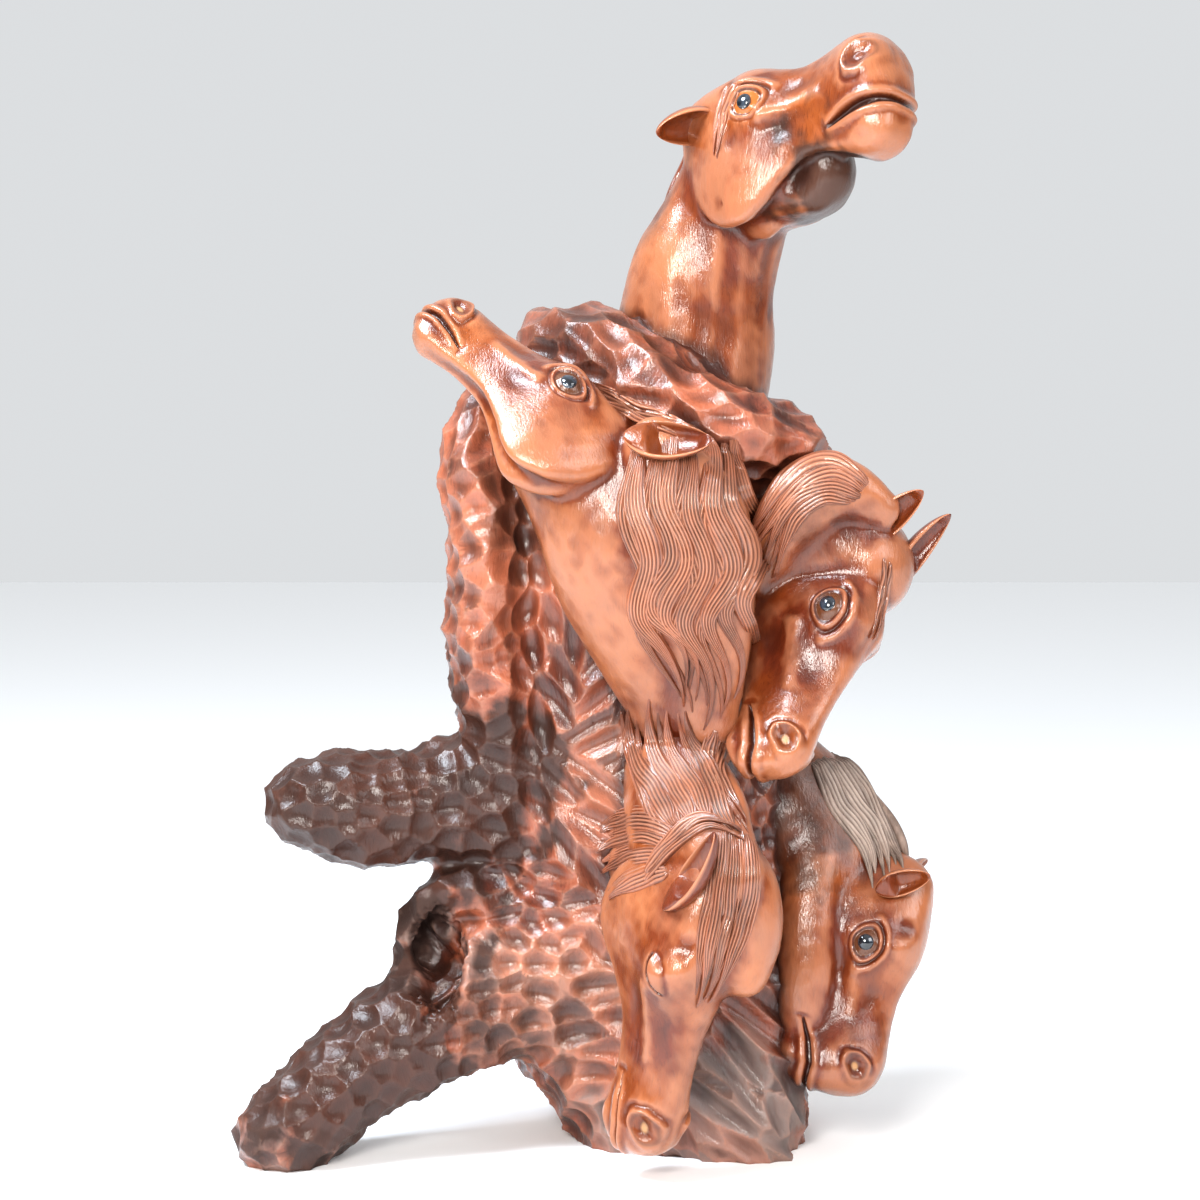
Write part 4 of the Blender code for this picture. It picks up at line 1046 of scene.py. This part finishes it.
# The locks of each mane. A swathe's locks run from the first of its lines to the last and share every
# line out evenly; a line is a few points (across, height) as seen from the swathe's side. wide is a lock's
# half width, lift how high it lies, crown how much its middle is raised, of its half width, and wave how
# far it bends to and fro
swathes = {
    "top": [
        dict(side="front", locks=5, wide=0.0035, lift=0.0, crown=0.12, wave=0.0010, lines=[
            [(0.113, 0.928), (0.124, 0.930)], [(0.106, 0.912), (0.117, 0.911)],
            [(0.101, 0.888), (0.110, 0.886)], [(0.098, 0.856), (0.103, 0.854)]]),
        dict(side="back", locks=7, wide=0.0100, lift=0.002, crown=0.2, wave=0.0040, lines=[
            [(0.088, 0.890), (0.106, 0.898), (0.124, 0.890)],
            [(0.076, 0.840), (0.096, 0.845), (0.118, 0.838)],
            [(0.060, 0.770), (0.082, 0.772), (0.106, 0.765)],
            [(0.050, 0.690), (0.074, 0.682), (0.104, 0.688)]]),
    ],
    "left": [
        dict(side="front", locks=12, wide=0.0105, lift=0.002, crown=0.32, wave=0.0095, lines=[
            [(0.026, 0.618), (0.048, 0.624), (0.068, 0.628), (0.092, 0.630), (0.116, 0.626)],
            [(0.028, 0.545), (0.053, 0.545), (0.074, 0.542), (0.104, 0.548), (0.136, 0.552)],
            [(0.030, 0.490), (0.048, 0.484), (0.070, 0.480), (0.101, 0.482), (0.137, 0.490)],
            [(0.046, 0.440), (0.061, 0.436), (0.078, 0.430), (0.100, 0.428), (0.132, 0.434)],
            [(0.066, 0.376), (0.076, 0.360), (0.086, 0.352), (0.100, 0.350), (0.120, 0.356)]]),
        dict(side="front", locks=4, wide=0.0042, lift=0.0, crown=0.15, wave=0.0015, lines=[
            [(-0.012, 0.669), (0.000, 0.650)], [(0.030, 0.648), (0.030, 0.632)],
            [(0.072, 0.634), (0.068, 0.620)], [(0.102, 0.612), (0.094, 0.602)]]),
    ],
    "right": [
        dict(side="front", locks=8, wide=0.0070, lift=0.002, crown=0.18, wave=0.0030, lines=[
            [(0.240, 0.576), (0.235, 0.566), (0.226, 0.560)],
            [(0.206, 0.598), (0.204, 0.580), (0.200, 0.562)],
            [(0.164, 0.584), (0.171, 0.566), (0.177, 0.548)],
            [(0.137, 0.553), (0.148, 0.538), (0.160, 0.524)],
            [(0.127, 0.528), (0.133, 0.506), (0.148, 0.490)]]),
        dict(side="front", locks=4, wide=0.0022, lift=0.0, crown=0.15, wave=0.0006, lines=[
            [(0.246, 0.515), (0.256, 0.512)], [(0.245, 0.490), (0.253, 0.488)],
            [(0.240, 0.460), (0.247, 0.457)], [(0.233, 0.436), (0.238, 0.434)]]),
        dict(side="back", locks=7, wide=0.0080, lift=0.002, crown=0.2, wave=0.0030, lines=[
            [(0.145, 0.586), (0.182, 0.600), (0.212, 0.594), (0.235, 0.578)],
            [(0.142, 0.560), (0.178, 0.570), (0.208, 0.565), (0.232, 0.550)],
            [(0.150, 0.528), (0.178, 0.532), (0.204, 0.528), (0.226, 0.520)]]),
    ],
    "front": [
        dict(side="front", locks=8, wide=0.0085, lift=0.001, crown=0.2, wave=0.0040, lines=[
            [(0.058, 0.270), (0.088, 0.276), (0.122, 0.268)],
            [(0.034, 0.300), (0.068, 0.306), (0.102, 0.308)],
            [(0.024, 0.336), (0.054, 0.342), (0.088, 0.344)],
            [(0.018, 0.384), (0.046, 0.398), (0.080, 0.392)]]),
        dict(side="front", locks=4, wide=0.0050, lift=0.001, crown=0.15, wave=0.0020, lines=[
            [(0.098, 0.372), (0.112, 0.352)], [(0.092, 0.330), (0.108, 0.325)],
            [(0.104, 0.300), (0.118, 0.296)], [(0.126, 0.270), (0.136, 0.262)]]),
        dict(side="front", locks=8, wide=0.0072, lift=0.0, crown=0.10, wave=0.0012, lines=[
            [(0.078, 0.270), (0.068, 0.252), (0.062, 0.236)],
            [(0.046, 0.290), (0.040, 0.262), (0.044, 0.230)],
            [(0.018, 0.288), (0.010, 0.256), (0.020, 0.218)],
            [(-0.002, 0.276), (-0.008, 0.244), (0.006, 0.204)]]),
        dict(side="front", locks=3, wide=0.0042, lift=0.004, crown=0.15, wave=0.0010, lines=[
            [(0.036, 0.220), (0.042, 0.232)], [(0.062, 0.250), (0.060, 0.264)],
            [(0.098, 0.274), (0.090, 0.288)], [(0.134, 0.257), (0.138, 0.268)]]),
        dict(side="front", locks=7, wide=0.0062, lift=0.001, crown=0.12, wave=0.0012, lines=[
            [(0.104, 0.278), (0.118, 0.282), (0.134, 0.274)],
            [(0.096, 0.212), (0.116, 0.212), (0.138, 0.210)],
            [(0.086, 0.158), (0.102, 0.158), (0.118, 0.160)],
            [(0.080, 0.108), (0.086, 0.110), (0.094, 0.116)]]),
    ],
    "low": [
        dict(side="front", locks=6, wide=0.0072, lift=0.003, crown=0.2, wave=0.0025, lines=[
            [(0.182, 0.334), (0.195, 0.340), (0.208, 0.338)],
            [(0.204, 0.298), (0.220, 0.300), (0.236, 0.304)],
            [(0.224, 0.262), (0.240, 0.264), (0.254, 0.268)],
            [(0.236, 0.212), (0.252, 0.224), (0.268, 0.236)]]),
        dict(side="back", locks=5, wide=0.0080, lift=0.002, crown=0.2, wave=0.0030, lines=[
            [(0.168, 0.340), (0.206, 0.340)], [(0.196, 0.302), (0.236, 0.302)],
            [(0.224, 0.262), (0.264, 0.262)], [(0.242, 0.228), (0.276, 0.232)]]),
    ],
}


# Lines of sight through points (across, height): the front's all start where the camera stands, and the
# back's run straight along -Y
def sightLines(side, pane):
    across, height = pane[..., 0], pane[..., 1]
    if side == "back":
        start = np.stack([across, np.ones_like(across), height], -1)
        return start, np.broadcast_to(np.array([0.0, -1.0, 0.0]), start.shape)
    rise = height - studio["aim"]
    through = np.stack([across, rise * math.sin(pitch), studio["aim"] + rise * math.cos(pitch)], -1)
    return np.broadcast_to(cameraPlace, through.shape), unit(through - cameraPlace)


# How far along its line of sight the carving first shows, for each point of the pane, or nan
def sightDepths(trees, side, pane):
    starts, ways = sightLines(side, pane.reshape(-1, 2))
    found = [[tree.ray_cast(Vector(start), Vector(way))[3] for tree in trees]
             for start, way in zip(starts, ways)]
    found = np.array([[math.inf if d is None else d for d in row] for row in found]).min(1)
    return np.where(np.isinf(found), math.nan, found).reshape(pane.shape[:-1])


# The depths with their gaps bridged, and eased so that a lock spans a hollow and doesn't drop into it
def settled(depth, reach=3, drop=0.004):
    known = ~np.isnan(depth)
    steps = np.arange(len(depth))
    depth = np.interp(steps, steps[known], depth[known])
    for _ in range(6):
        depth = np.minimum(depth, evened(depth, reach) + drop)
    return evened(depth, reach)


# The way across a flat path, at each of its points
def acrossPath(path):
    tangent = unit(np.gradient(path, axis=0))
    return np.stack([-tangent[:, 1], tangent[:, 0]], -1)


# The bed of a lock along a path of points (across, height): its points and normals on the carving, which
# follow a parabola across the lock's width through three depths found there. u runs across the lock from
# -1 to 1. None where most of the path misses the carving
def lockBed(trees, side, path, halfWidth, u):
    sideways = acrossPath(path)
    probed = 0.8  # share of the half width at which the outer depths are found
    shares = np.array([-probed, 0.0, probed])
    probes = path[:, None] + sideways[:, None] * halfWidth[:, None, None] * shares[None, :, None]
    depth = sightDepths(trees, side, probes)
    if np.isnan(depth[:, 1]).mean() > 0.5:
        return None
    middle = settled(depth[:, 1])
    left, right = (np.where(np.isnan(d), middle + halfWidth, d) - middle for d in (depth[:, 0], depth[:, 2]))
    slope = (right - left) / (2 * probed)
    slope = evened(np.clip(slope, -0.9 * halfWidth, 0.9 * halfWidth), 3)[:, None]
    bend = evened(np.clip((right + left) / (2 * probed**2), 0, 0.8 * halfWidth), 3)[:, None]
    pane = path[:, None] + sideways[:, None] * (halfWidth[:, None] * u)[..., None]
    starts, ways = sightLines(side, pane)
    points = starts + ways * (middle[:, None] + slope * u + bend * u**2)[..., None]
    normal = unit(np.cross(np.gradient(points, axis=0), np.gradient(points, axis=1)))
    return points, evened(normal * np.where((normal * ways).sum(-1, keepdims=True) > 0, -1, 1), 2)


# One lock along a path of points (across, height). It lies on the carving, rises in a low crown across its
# width and is cut into strands of height 1 - |2 x place in the strand - 1| ^ 2.4. Its underside is sunk
def makeLock(trees, side, path, halfWidth, lift, crown, rng):
    strands = max(2, round(2 * halfWidth.max() / hair["strand"]))
    u = np.linspace(-1, 1, strands * hair["perStrand"] + 1)[None]
    t = np.linspace(0, 1, len(path))[:, None]
    bed = lockBed(trees, side, path, halfWidth, u)
    if bed is None:
        return None
    points, normal = bed
    rounded = (1 - u**2) ** 0.55
    wander = 0.35 * np.sin(2 * math.pi * (1.2 * t + rng.random()))
    wander = wander + 0.15 * np.sin(2 * math.pi * (3.3 * t + rng.random()))
    strand = (u + 1) / 2 * strands + wander * rounded
    place = np.abs(2 * (strand % 1) - 1)
    full = halfWidth[:, None] / halfWidth.max()
    ends = ramp(t, 0.0, 0.10) * ramp(1 - t, 0.0, 0.10)
    height = crown * halfWidth[:, None] * rounded * ends
    height = height + (lift + hair["edge"]) * (ends * (1 - np.abs(u) ** 8)) - hair["edge"]
    height = height - hair["groove"] * full * place**2.4 * rounded
    top = points + normal * height[..., None]
    low = np.array([0.8, 0.4, 0.0, -0.4, -0.8])  # where the underside's points lie across the lock
    columns = np.round((low + 1) / 2 * (u.size - 1)).astype(int)
    bottom = points[:, columns] - normal[:, columns] * hair["under"]
    lock = tubeObject("lock", np.concatenate([top, bottom], 1))
    tones = 0.45 * rng.random() + 0.55 * rng.random(strands + 3)
    # shade paints shade into the grooves between strands, and hollow, negative there, paints a highlight
    # along their crests
    looks = {"shade": (0.95 * place**2.6 * full**0.5 * (rounded > 0.2), 0.0),
             "hollow": (-((1 - place) ** 0.7) * rounded * full**0.5, 0.0),
             "tone": (tones[np.floor(strand).astype(int) + 1], 0.5)}
    for key, (above, below) in looks.items():
        values = np.concatenate([above, np.full((len(path), len(low)), below)], 1)
        storeAttribute(lock.data, key, values.ravel())
    return lock


# The path of a swathe's lock: share is its place along every line, and it sways from side to side as a sine.
# Also the parameter t along it, from 0 to 1
def lockPath(swathe, lines, share, phase, rng):
    marks = np.concatenate([smoothRows(line, np.array([share * (len(line) - 1)])) for line in lines])
    rough = smoothRows(marks, np.linspace(0, len(marks) - 1, 60))
    length = np.linalg.norm(np.diff(rough, axis=0), axis=1).sum()
    count = max(14, round(length / hair["step"]))
    end = len(marks) - 1 - 0.35 * rng.random()
    path = smoothRows(marks, np.linspace(0.2 * rng.random(), end, count))
    t = np.linspace(0, 1, count)
    turns = length / hair["wave"] * t + phase + 0.25 * rng.random()
    sway = swathe["wave"] * np.sin(2 * math.pi * turns) * ramp(t, 0, 0.25)
    return path + sway[:, None] * acrossPath(path), t


# The mane of one horse: every swathe's locks, side by side, each second one a little higher
def makeMane(name, trees):
    rng = np.random.default_rng(hair["seed"])
    locks = []
    for swathe in swathes[name]:
        lines = [np.array(line, float) for line in swathe["lines"]]
        phase = rng.random()
        for k in range(swathe["locks"]):
            share = (k + 0.5 + rng.uniform(-0.2, 0.2)) / swathe["locks"]
            path, t = lockPath(swathe, lines, share, phase, rng)
            wide = swathe["wide"] * rng.uniform(0.85, 1.2)
            halfWidth = wide * (0.30 + 0.70 * ramp(t, 0, 0.20)) * (1 - 0.92 * ramp(t, 0.50, 1.0))
            lift = swathe["lift"] + hair["second"] * (k % 2)
            lock = makeLock(trees, swathe["side"], path, halfWidth, lift, swathe["crown"], rng)
            if lock:
                locks.append(lock)
    return joined(name + "Mane", locks, ("shade", "tone", "hollow"))


# Adds a shader node: its own settings, then its sockets by name or number, as values or as links
def addNode(tree, kind, sockets=None, **settings):
    node = tree.nodes.new("ShaderNode" + kind)
    for key, value in settings.items():
        setattr(node, key, value)
    for key, value in (sockets or {}).items():
        if isinstance(value, bpy.types.NodeSocket):
            tree.links.new(value, node.inputs[key])
        else:
            node.inputs[key].default_value = value
    return node


# Colour between two others, each a socket or a plain (red, green, blue)
def mixColour(tree, share, first, second):
    first, second = ((*c, 1) if isinstance(c, tuple) else c for c in (first, second))
    return addNode(tree, "Mix", {0: share, 6: first, 7: second}, data_type="RGBA").outputs[2]


def mapped(tree, value, low, high, toLow=0.0, toHigh=1.0):
    return addNode(tree, "MapRange", {0: value, 1: low, 2: high, 3: toLow, 4: toHigh}).outputs[0]


def maths(tree, operation, first, second, clamp=True):
    return addNode(tree, "Math", {0: first, 1: second}, operation=operation, use_clamp=clamp).outputs[0]


def useGroup(tree, group, **sockets):
    return addNode(tree, "Group", sockets, node_tree=group).outputs


def attribute(tree, name):
    return addNode(tree, "Attribute", attribute_name=name).outputs["Fac"]


# Node group with named inputs (name: default) and outputs, all plain numbers; build fills it
def nodeGroup(name, inputs, outputs, build):
    group = bpy.data.node_groups.new(name, "ShaderNodeTree")
    for key, value in inputs.items():
        socket = group.interface.new_socket(key, in_out="INPUT", socket_type="NodeSocketFloat")
        socket.default_value = value
    for key in outputs:
        group.interface.new_socket(key, in_out="OUTPUT", socket_type="NodeSocketFloat")
    source, sink = group.nodes.new("NodeGroupInput"), group.nodes.new("NodeGroupOutput")
    for key, socket in build(group, source.outputs).items():
        group.links.new(socket, sink.inputs[key])
    return group


# Wood grain along Z: broad streaks, fine fibres, and clouds where the varnish lies thicker
def buildGrain(tree, given):
    place = addNode(tree, "TexCoord").outputs["Object"]
    bent = addNode(tree, "TexNoise", {"Vector": place, "Scale": 7.0, "Detail": 2.0}).outputs["Color"]
    bent = addNode(tree, "VectorMath", {0: bent, 1: (0.05, 0.05, 0.05)}, operation="MULTIPLY").outputs[0]
    place = addNode(tree, "VectorMath", {0: place, 1: bent}, operation="ADD").outputs[0]
    along = addNode(tree, "Mapping", {"Vector": place, "Scale": (1.0, 1.0, 0.14),
                                      "Rotation": (0.12, 0.18, 0.0)}).outputs[0]
    streaks = addNode(tree, "TexNoise", {"Vector": along, "Scale": given["Scale"], "Detail": 6.0,
                                         "Roughness": 0.62})
    fine = maths(tree, "MULTIPLY", given["Scale"], 6.0, clamp=False)
    fibres = addNode(tree, "TexNoise", {"Vector": along, "Scale": fine, "Detail": 3.0, "Roughness": 0.7})
    clouds = addNode(tree, "TexNoise", {"Vector": place, "Scale": 11.0, "Detail": 3.0, "Distortion": 0.6})
    return {"Streaks": mapped(tree, streaks.outputs[0], 0.38, 0.60),
            "Fibres": mapped(tree, fibres.outputs[0], 0.30, 0.70),
            "Clouds": mapped(tree, clouds.outputs[0], 0.40, 0.66)}


# A mask with its edge broken up by small noise
def buildPatchy(tree, given):
    place = addNode(tree, "TexCoord").outputs["Object"]
    noise = addNode(tree, "TexNoise", {"Vector": place, "Scale": given["Scale"], "Detail": 5.0,
                                       "Roughness": 0.65}).outputs[0]
    broken = maths(tree, "ADD", noise, -0.5, clamp=False)
    broken = maths(tree, "MULTIPLY", broken, given["Broken"], clamp=False)
    spread = maths(tree, "ADD", broken, given["Mask"], clamp=False)
    return {"Patchy": mapped(tree, spread, 0.25, 0.75)}


woodGrain = nodeGroup("woodGrain", {"Scale": 80.0}, ["Streaks", "Fibres", "Clouds"], buildGrain)
patchyMask = nodeGroup("patchyMask", {"Mask": 0.0, "Scale": 60.0, "Broken": 0.8}, ["Patchy"], buildPatchy)


# dark, middle and light are the wood's tones, and ridge is the lighter tone of its edges, wear and painted
# highlight.
# glow is how much light wood shows in clouds, streak how strong the dark streaks are, edges how strongly
# edges are lightened as painted highlight, and hollow how strongly hollows are darkened, painted shade with
# some stain there
woods = {
    "headWood": dict(dark=(0.050, 0.009, 0.004), middle=(0.270, 0.050, 0.013), light=(0.540, 0.140, 0.022),
                     glow=0.80, streak=0.50, edges=0.35, hollow=0.50, ridge=(0.58, 0.25, 0.13), rough=0.34,
                     coat=0.90, bump=0.50),
    "trunkWood": dict(dark=(0.022, 0.006, 0.004), middle=(0.180, 0.044, 0.022), light=(0.380, 0.112, 0.055),
                      glow=0.55, streak=0.80, edges=0.16, hollow=0.70, ridge=(0.52, 0.24, 0.15), rough=0.42,
                      coat=0.90, bump=0.60),
    "hairWood": dict(dark=(0.040, 0.008, 0.004), middle=(0.170, 0.042, 0.019), light=(0.360, 0.110, 0.050),
                     glow=0.45, streak=0.7, edges=0.42, hollow=0.90, ridge=(0.58, 0.29, 0.18), rough=0.32,
                     coat=0.90, bump=0.25),
    "greyHairWood": dict(dark=(0.110, 0.075, 0.060), middle=(0.300, 0.215, 0.175),
                         light=(0.480, 0.370, 0.310), glow=0.30, streak=1.0, edges=0.35, hollow=0.80,
                         ridge=(0.60, 0.52, 0.46), rough=0.55, coat=0.10, bump=0.50),
}
# Colours laid over the wood: bare wood, painted shade, amber and dark eyeballs, grey weathering, a paler
# tone painted as highlight, and a dark tone for stain and painted shade
finish = {"bare": (0.42, 0.23, 0.11), "shade": (0.035, 0.010, 0.006), "amber": (0.34, 0.105, 0.022),
          "grey": (0.200, 0.165, 0.150), "paleHighlight": (0.56, 0.27, 0.17), "stainShadeColour": (0.030, 0.014, 0.010),
          "eyeball": (0.110, 0.040, 0.018)}
varnish = {"specular": 0.16, "coatRough": 0.17, "dullRough": 0.35, "grainHeight": 0.0006}


# Varnished carved wood: grain and clouds give the base colour, then the carving's own attributes lay on
# lighter ridges and edges (wear and painted highlight), paler patches of painted highlight, grey patches,
# dark stain with painted shade, painted shade in hollows, joins and recesses, bare pits and amber eyeballs,
# one layer over the last
def carvedWood(name, wood):
    material = bpy.data.materials.new(name)
    material.use_nodes = True
    tree = material.node_tree
    shader = tree.nodes["Principled BSDF"]
    grain = useGroup(tree, woodGrain)
    grey = useGroup(tree, patchyMask, Mask=attribute(tree, "grey"), Scale=40.0, Broken=1.2)["Patchy"]
    ridge = useGroup(tree, patchyMask, Mask=attribute(tree, "ridge"), Scale=90.0, Broken=1.2)["Patchy"]
    stainAndShade = useGroup(tree, patchyMask, Mask=attribute(tree, "stainAndShade"), Scale=30.0, Broken=0.8)["Patchy"]
    tone, hollow, bare, ball = (attribute(tree, key) for key in ("tone", "hollow", "bare", "ball"))
    colour = mixColour(tree, mapped(tree, grain["Streaks"], 0, 1, 1 - wood["streak"], 1), wood["dark"],
                       wood["middle"])
    layers = [  # mask, from and to which of its values the layer comes in, how strongly, and its colour
        (grain["Clouds"], 0, 1, wood["glow"], wood["light"]),
        (grain["Fibres"], 0.42, 0.05, 0.40, wood["dark"]),
        # paler patches: painted highlight
        (attribute(tree, "paleHighlight"), 0, 1, 0.6, finish["paleHighlight"]),
        (grey, 0, 1, 0.80, finish["grey"]),
        (tone, 0.55, 1.0, 0.45, wood["light"]),
        (tone, 0.40, 0.05, 0.60, wood["dark"]),
        # lighter ridges between gouge cuts: edge wear and painted highlight
        (ridge, 0, 1, 0.12, wood["ridge"]),
        # painted highlight on convex edges, and painted shade in hollows, partly stain gathered there
        (hollow, 0, -1, wood["edges"], wood["ridge"]),
        (hollow, 0, 1, wood["hollow"], wood["dark"]),
        # painted shade in the joins between pieces, partly stain gathered there
        (attribute(tree, "crease"), 0.05, 0.9, 0.90, finish["shade"]),
        # darker patches: dark stain and painted shade
        (stainAndShade, 0, 1, 0.88, finish["stainShadeColour"]),
        (attribute(tree, "rim"), 0.2, 1.0, 0.6, wood["ridge"]),
        (attribute(tree, "shade"), 0, 1, 0.85, finish["shade"]),
        (bare, 0, 1, 1, finish["bare"]),
        (ball, 0, 0.4, 1, finish["eyeball"]),
        (ball, 0.5, 1, 1, finish["amber"]),
    ]
    for mask, start, whole, strength, over in layers:
        colour = mixColour(tree, mapped(tree, mask, start, whole, 0, strength), colour, over)
    tree.links.new(colour, shader.inputs["Base Color"])
    rough = mapped(tree, grain["Fibres"], 0, 1, wood["rough"] - 0.06, wood["rough"] + 0.10)
    dull = maths(tree, "MAXIMUM", grey, bare)
    rough = maths(tree, "ADD", rough, mapped(tree, dull, 0, 1, 0, varnish["dullRough"]))
    rough = maths(tree, "SUBTRACT", rough, mapped(tree, ball, 0, 1, 0, 0.20))
    tree.links.new(rough, shader.inputs["Roughness"])
    coat = maths(tree, "SUBTRACT", wood["coat"], mapped(tree, dull, 0, 1, 0, 0.5))
    coat = maths(tree, "SUBTRACT", coat, mapped(tree, stainAndShade, 0, 1, 0, 0.40))
    tree.links.new(coat, shader.inputs["Coat Weight"])
    shader.inputs["Specular IOR Level"].default_value = varnish["specular"]
    shader.inputs["Coat Roughness"].default_value = varnish["coatRough"]
    height = maths(tree, "ADD", mapped(tree, grain["Fibres"], 0, 1, 0, 0.6),
                   mapped(tree, grain["Streaks"], 0, 1, 0, 0.4))
    bump = addNode(tree, "Bump", {"Height": height, "Strength": wood["bump"],
                                  "Distance": varnish["grainHeight"]})
    tree.links.new(bump.outputs[0], shader.inputs["Normal"])
    tree.links.new(bump.outputs[0], shader.inputs["Coat Normal"])
    return material


polish = {"black": (0.006, 0.007, 0.009), "paintedReflection": (0.035, 0.045, 0.060), "rough": 0.06, "coatRough": 0.03}


# Polished stone-black pupil, with a faint cloud of blue-grey painted in as a reflection of the sky
def pupilGlass():
    material = bpy.data.materials.new("blackPupil")
    material.use_nodes = True
    tree = material.node_tree
    shader = tree.nodes["Principled BSDF"]
    place = addNode(tree, "TexCoord").outputs["Object"]
    paintedReflection = addNode(tree, "TexNoise", {"Vector": place, "Scale": 160.0, "Detail": 2.0}).outputs[0]
    colour = mixColour(tree, mapped(tree, paintedReflection, 0.4, 0.7), polish["black"], polish["paintedReflection"])
    tree.links.new(colour, shader.inputs["Base Color"])
    shader.inputs["Roughness"].default_value = polish["rough"]
    shader.inputs["Coat Weight"].default_value = 1.0
    shader.inputs["Coat Roughness"].default_value = polish["coatRough"]
    return material


madeWoods = {name: carvedWood(name, wood) for name, wood in woods.items()}
blackPupil = pupilGlass()


# Puts a material on a piece and lists it with its slot
def dress(piece, material, slot="varnished_wood"):
    piece.data.materials.clear()
    piece.data.materials.append(material)
    pieces.append((piece, slot))
    return piece


# An object's surface, for rays to be cast at
def rayTree(obj):
    bpy.context.view_layer.update()
    return BVHTree.FromObject(obj, bpy.context.evaluated_depsgraph_get())


creaseShade = {"horse": (0.8, 0.009), "stump": (1.0, 0.014)}  # how dark the painted shade in a join is, partly stain gathered there, and how far it reaches


# Paints shade where a piece touches the others, whose trees are given: painted shade in the join, partly
# stain gathered there
def paintCreaseShade(piece, trees, strength, reach):
    storeAttribute(piece.data, "crease", strength * nearness(meshPoints(piece.data), trees, reach))


pieces = []
trunk = dress(makeTrunk(), madeWoods["trunkWood"])
trunkTree = rayTree(trunk)
print("stump:", len(trunk.data.polygons))
standsFor = {trunk.name: "carved_root"}
animalTrees = []
for name, horse in horses.items():
    if horse["eyes"]:  # the openings move halfway to the part's own pupils
        place = pupilPlace(pupilNode(name, horse["eyes"][0]), horse)
        horse["eye"] = tuple((np.array(horse["eye"]) + place[[0, 2]]) / 2)
        print(name, "eye", horse["eye"])
    animal = dress(makeHorse(name, horse), madeWoods["headWood"])
    animalTree = rayTree(animal)
    animalTrees.append(animalTree)
    paintCreaseShade(animal, [trunkTree], *creaseShade["horse"])
    storeAttribute(animal.data, "stainAndShade", patches(meshPoints(animal.data), *horsePatches))
    for side in horse["eyes"]:
        node = pupilNode(name, side)
        disc = dress(makePupil(node + "_dome", node, horse, side, animalTree), blackPupil, "dark_eye")
        standsFor[disc.name] = node
    dress(makeEars(name, horse), madeWoods["headWood"])
    under = [1, 3] if name == "front" else [-1]  # the front one's mane lies on the left horse too
    mane = makeMane(name, [trunkTree] + [animalTrees[k] for k in under])
    dress(mane, madeWoods["greyHairWood" if name == "low" else "hairWood"])
    print(name, "horse:", len(animal.data.polygons), "and its mane:", 2 * len(mane.data.polygons))

paintCreaseShade(trunk, animalTrees, *creaseShade["stump"])

# the whole layout moves to the part's frame
for piece, slot in pieces:
    movePoints(piece.data, meshPoints(piece.data) + layoutShift)
    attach(piece, "root")
    if piece.name in standsFor:
        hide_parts(standsFor[piece.name])

floor = {"half": 6.0, "grey": 0.93, "rough": 0.9}
corners = floor["half"] * np.array([[-1, -1, 0], [1, -1, 0], [1, 1, 0], [-1, 1, 0]])
floorMesh = meshObject("floor", corners, [np.array([[0, 1, 2, 3]])], smooth=False)
floorPaint = bpy.data.materials.new("floorPaint")
floorPaint.use_nodes = True
floorShader = floorPaint.node_tree.nodes["Principled BSDF"]
floorShader.inputs["Base Color"].default_value = (*[floor["grey"]] * 3, 1)
floorShader.inputs["Roughness"].default_value = floor["rough"]
floorMesh.data.materials.append(floorPaint)

camera = bpy.data.cameras.new("camera")
camera.sensor_width, camera.lens = studio["sensor"], studio["lens"]
camera.clip_end = 50
cameraObject = bpy.data.objects.new("camera", camera)
bpy.context.scene.collection.objects.link(cameraObject)
cameraObject.location = Vector(cameraPlace + layoutShift)
cameraObject.rotation_euler = Vector(aimPlace - cameraPlace).to_track_quat("-Z", "Y").to_euler()
bpy.context.scene.camera = cameraObject


lights = {
    "sky": dict(place=(-1.3, -0.8, 2.4), size=1.0, power=125, colour=(0.80, 0.90, 1.0)),
    "key": dict(place=(-0.50, -2.6, 1.35), size=0.8, power=72, colour=(1.0, 0.97, 0.93)),
    "window": dict(place=(1.9, -1.6, 1.5), size=1.3, power=32, colour=(0.96, 0.98, 1.0)),
}


# Square light that faces the middle of the carving
def areaLight(name, place, size, power, colour):
    light = bpy.data.lights.new(name, "AREA")
    light.size, light.energy, light.color = size, power, colour
    obj = bpy.data.objects.new(name, light)
    obj.location = place
    obj.rotation_euler = (Vector((0, 0, 0.5)) - Vector(place)).to_track_quat("-Z", "Y").to_euler()
    bpy.context.scene.collection.objects.link(obj)


for name, light in lights.items():
    areaLight(name, **light)
roomLight = {"front": 0.20, "behind": 0.44, "overhead": 0.80}  # strengths; front is there all round
world = bpy.data.worlds.new("studioWorld")
world.use_nodes = True
room = world.node_tree
way = addNode(room, "SeparateXYZ", {0: addNode(room, "TexCoord").outputs["Generated"]}).outputs
behind = mapped(room, way["Y"], 0.3, 0.9, 0.0, roomLight["behind"])
overhead = mapped(room, way["Z"], 0.2, 0.9, roomLight["front"], roomLight["overhead"])
background = room.nodes["Background"]
room.links.new(maths(room, "ADD", behind, overhead, clamp=False), background.inputs["Strength"])
background.inputs["Color"].default_value = (0.96, 0.98, 1, 1)
bpy.context.scene.world = world
bpy.context.scene.view_settings.view_transform = "Standard"
bpy.context.scene.view_settings.look = "Medium High Contrast"
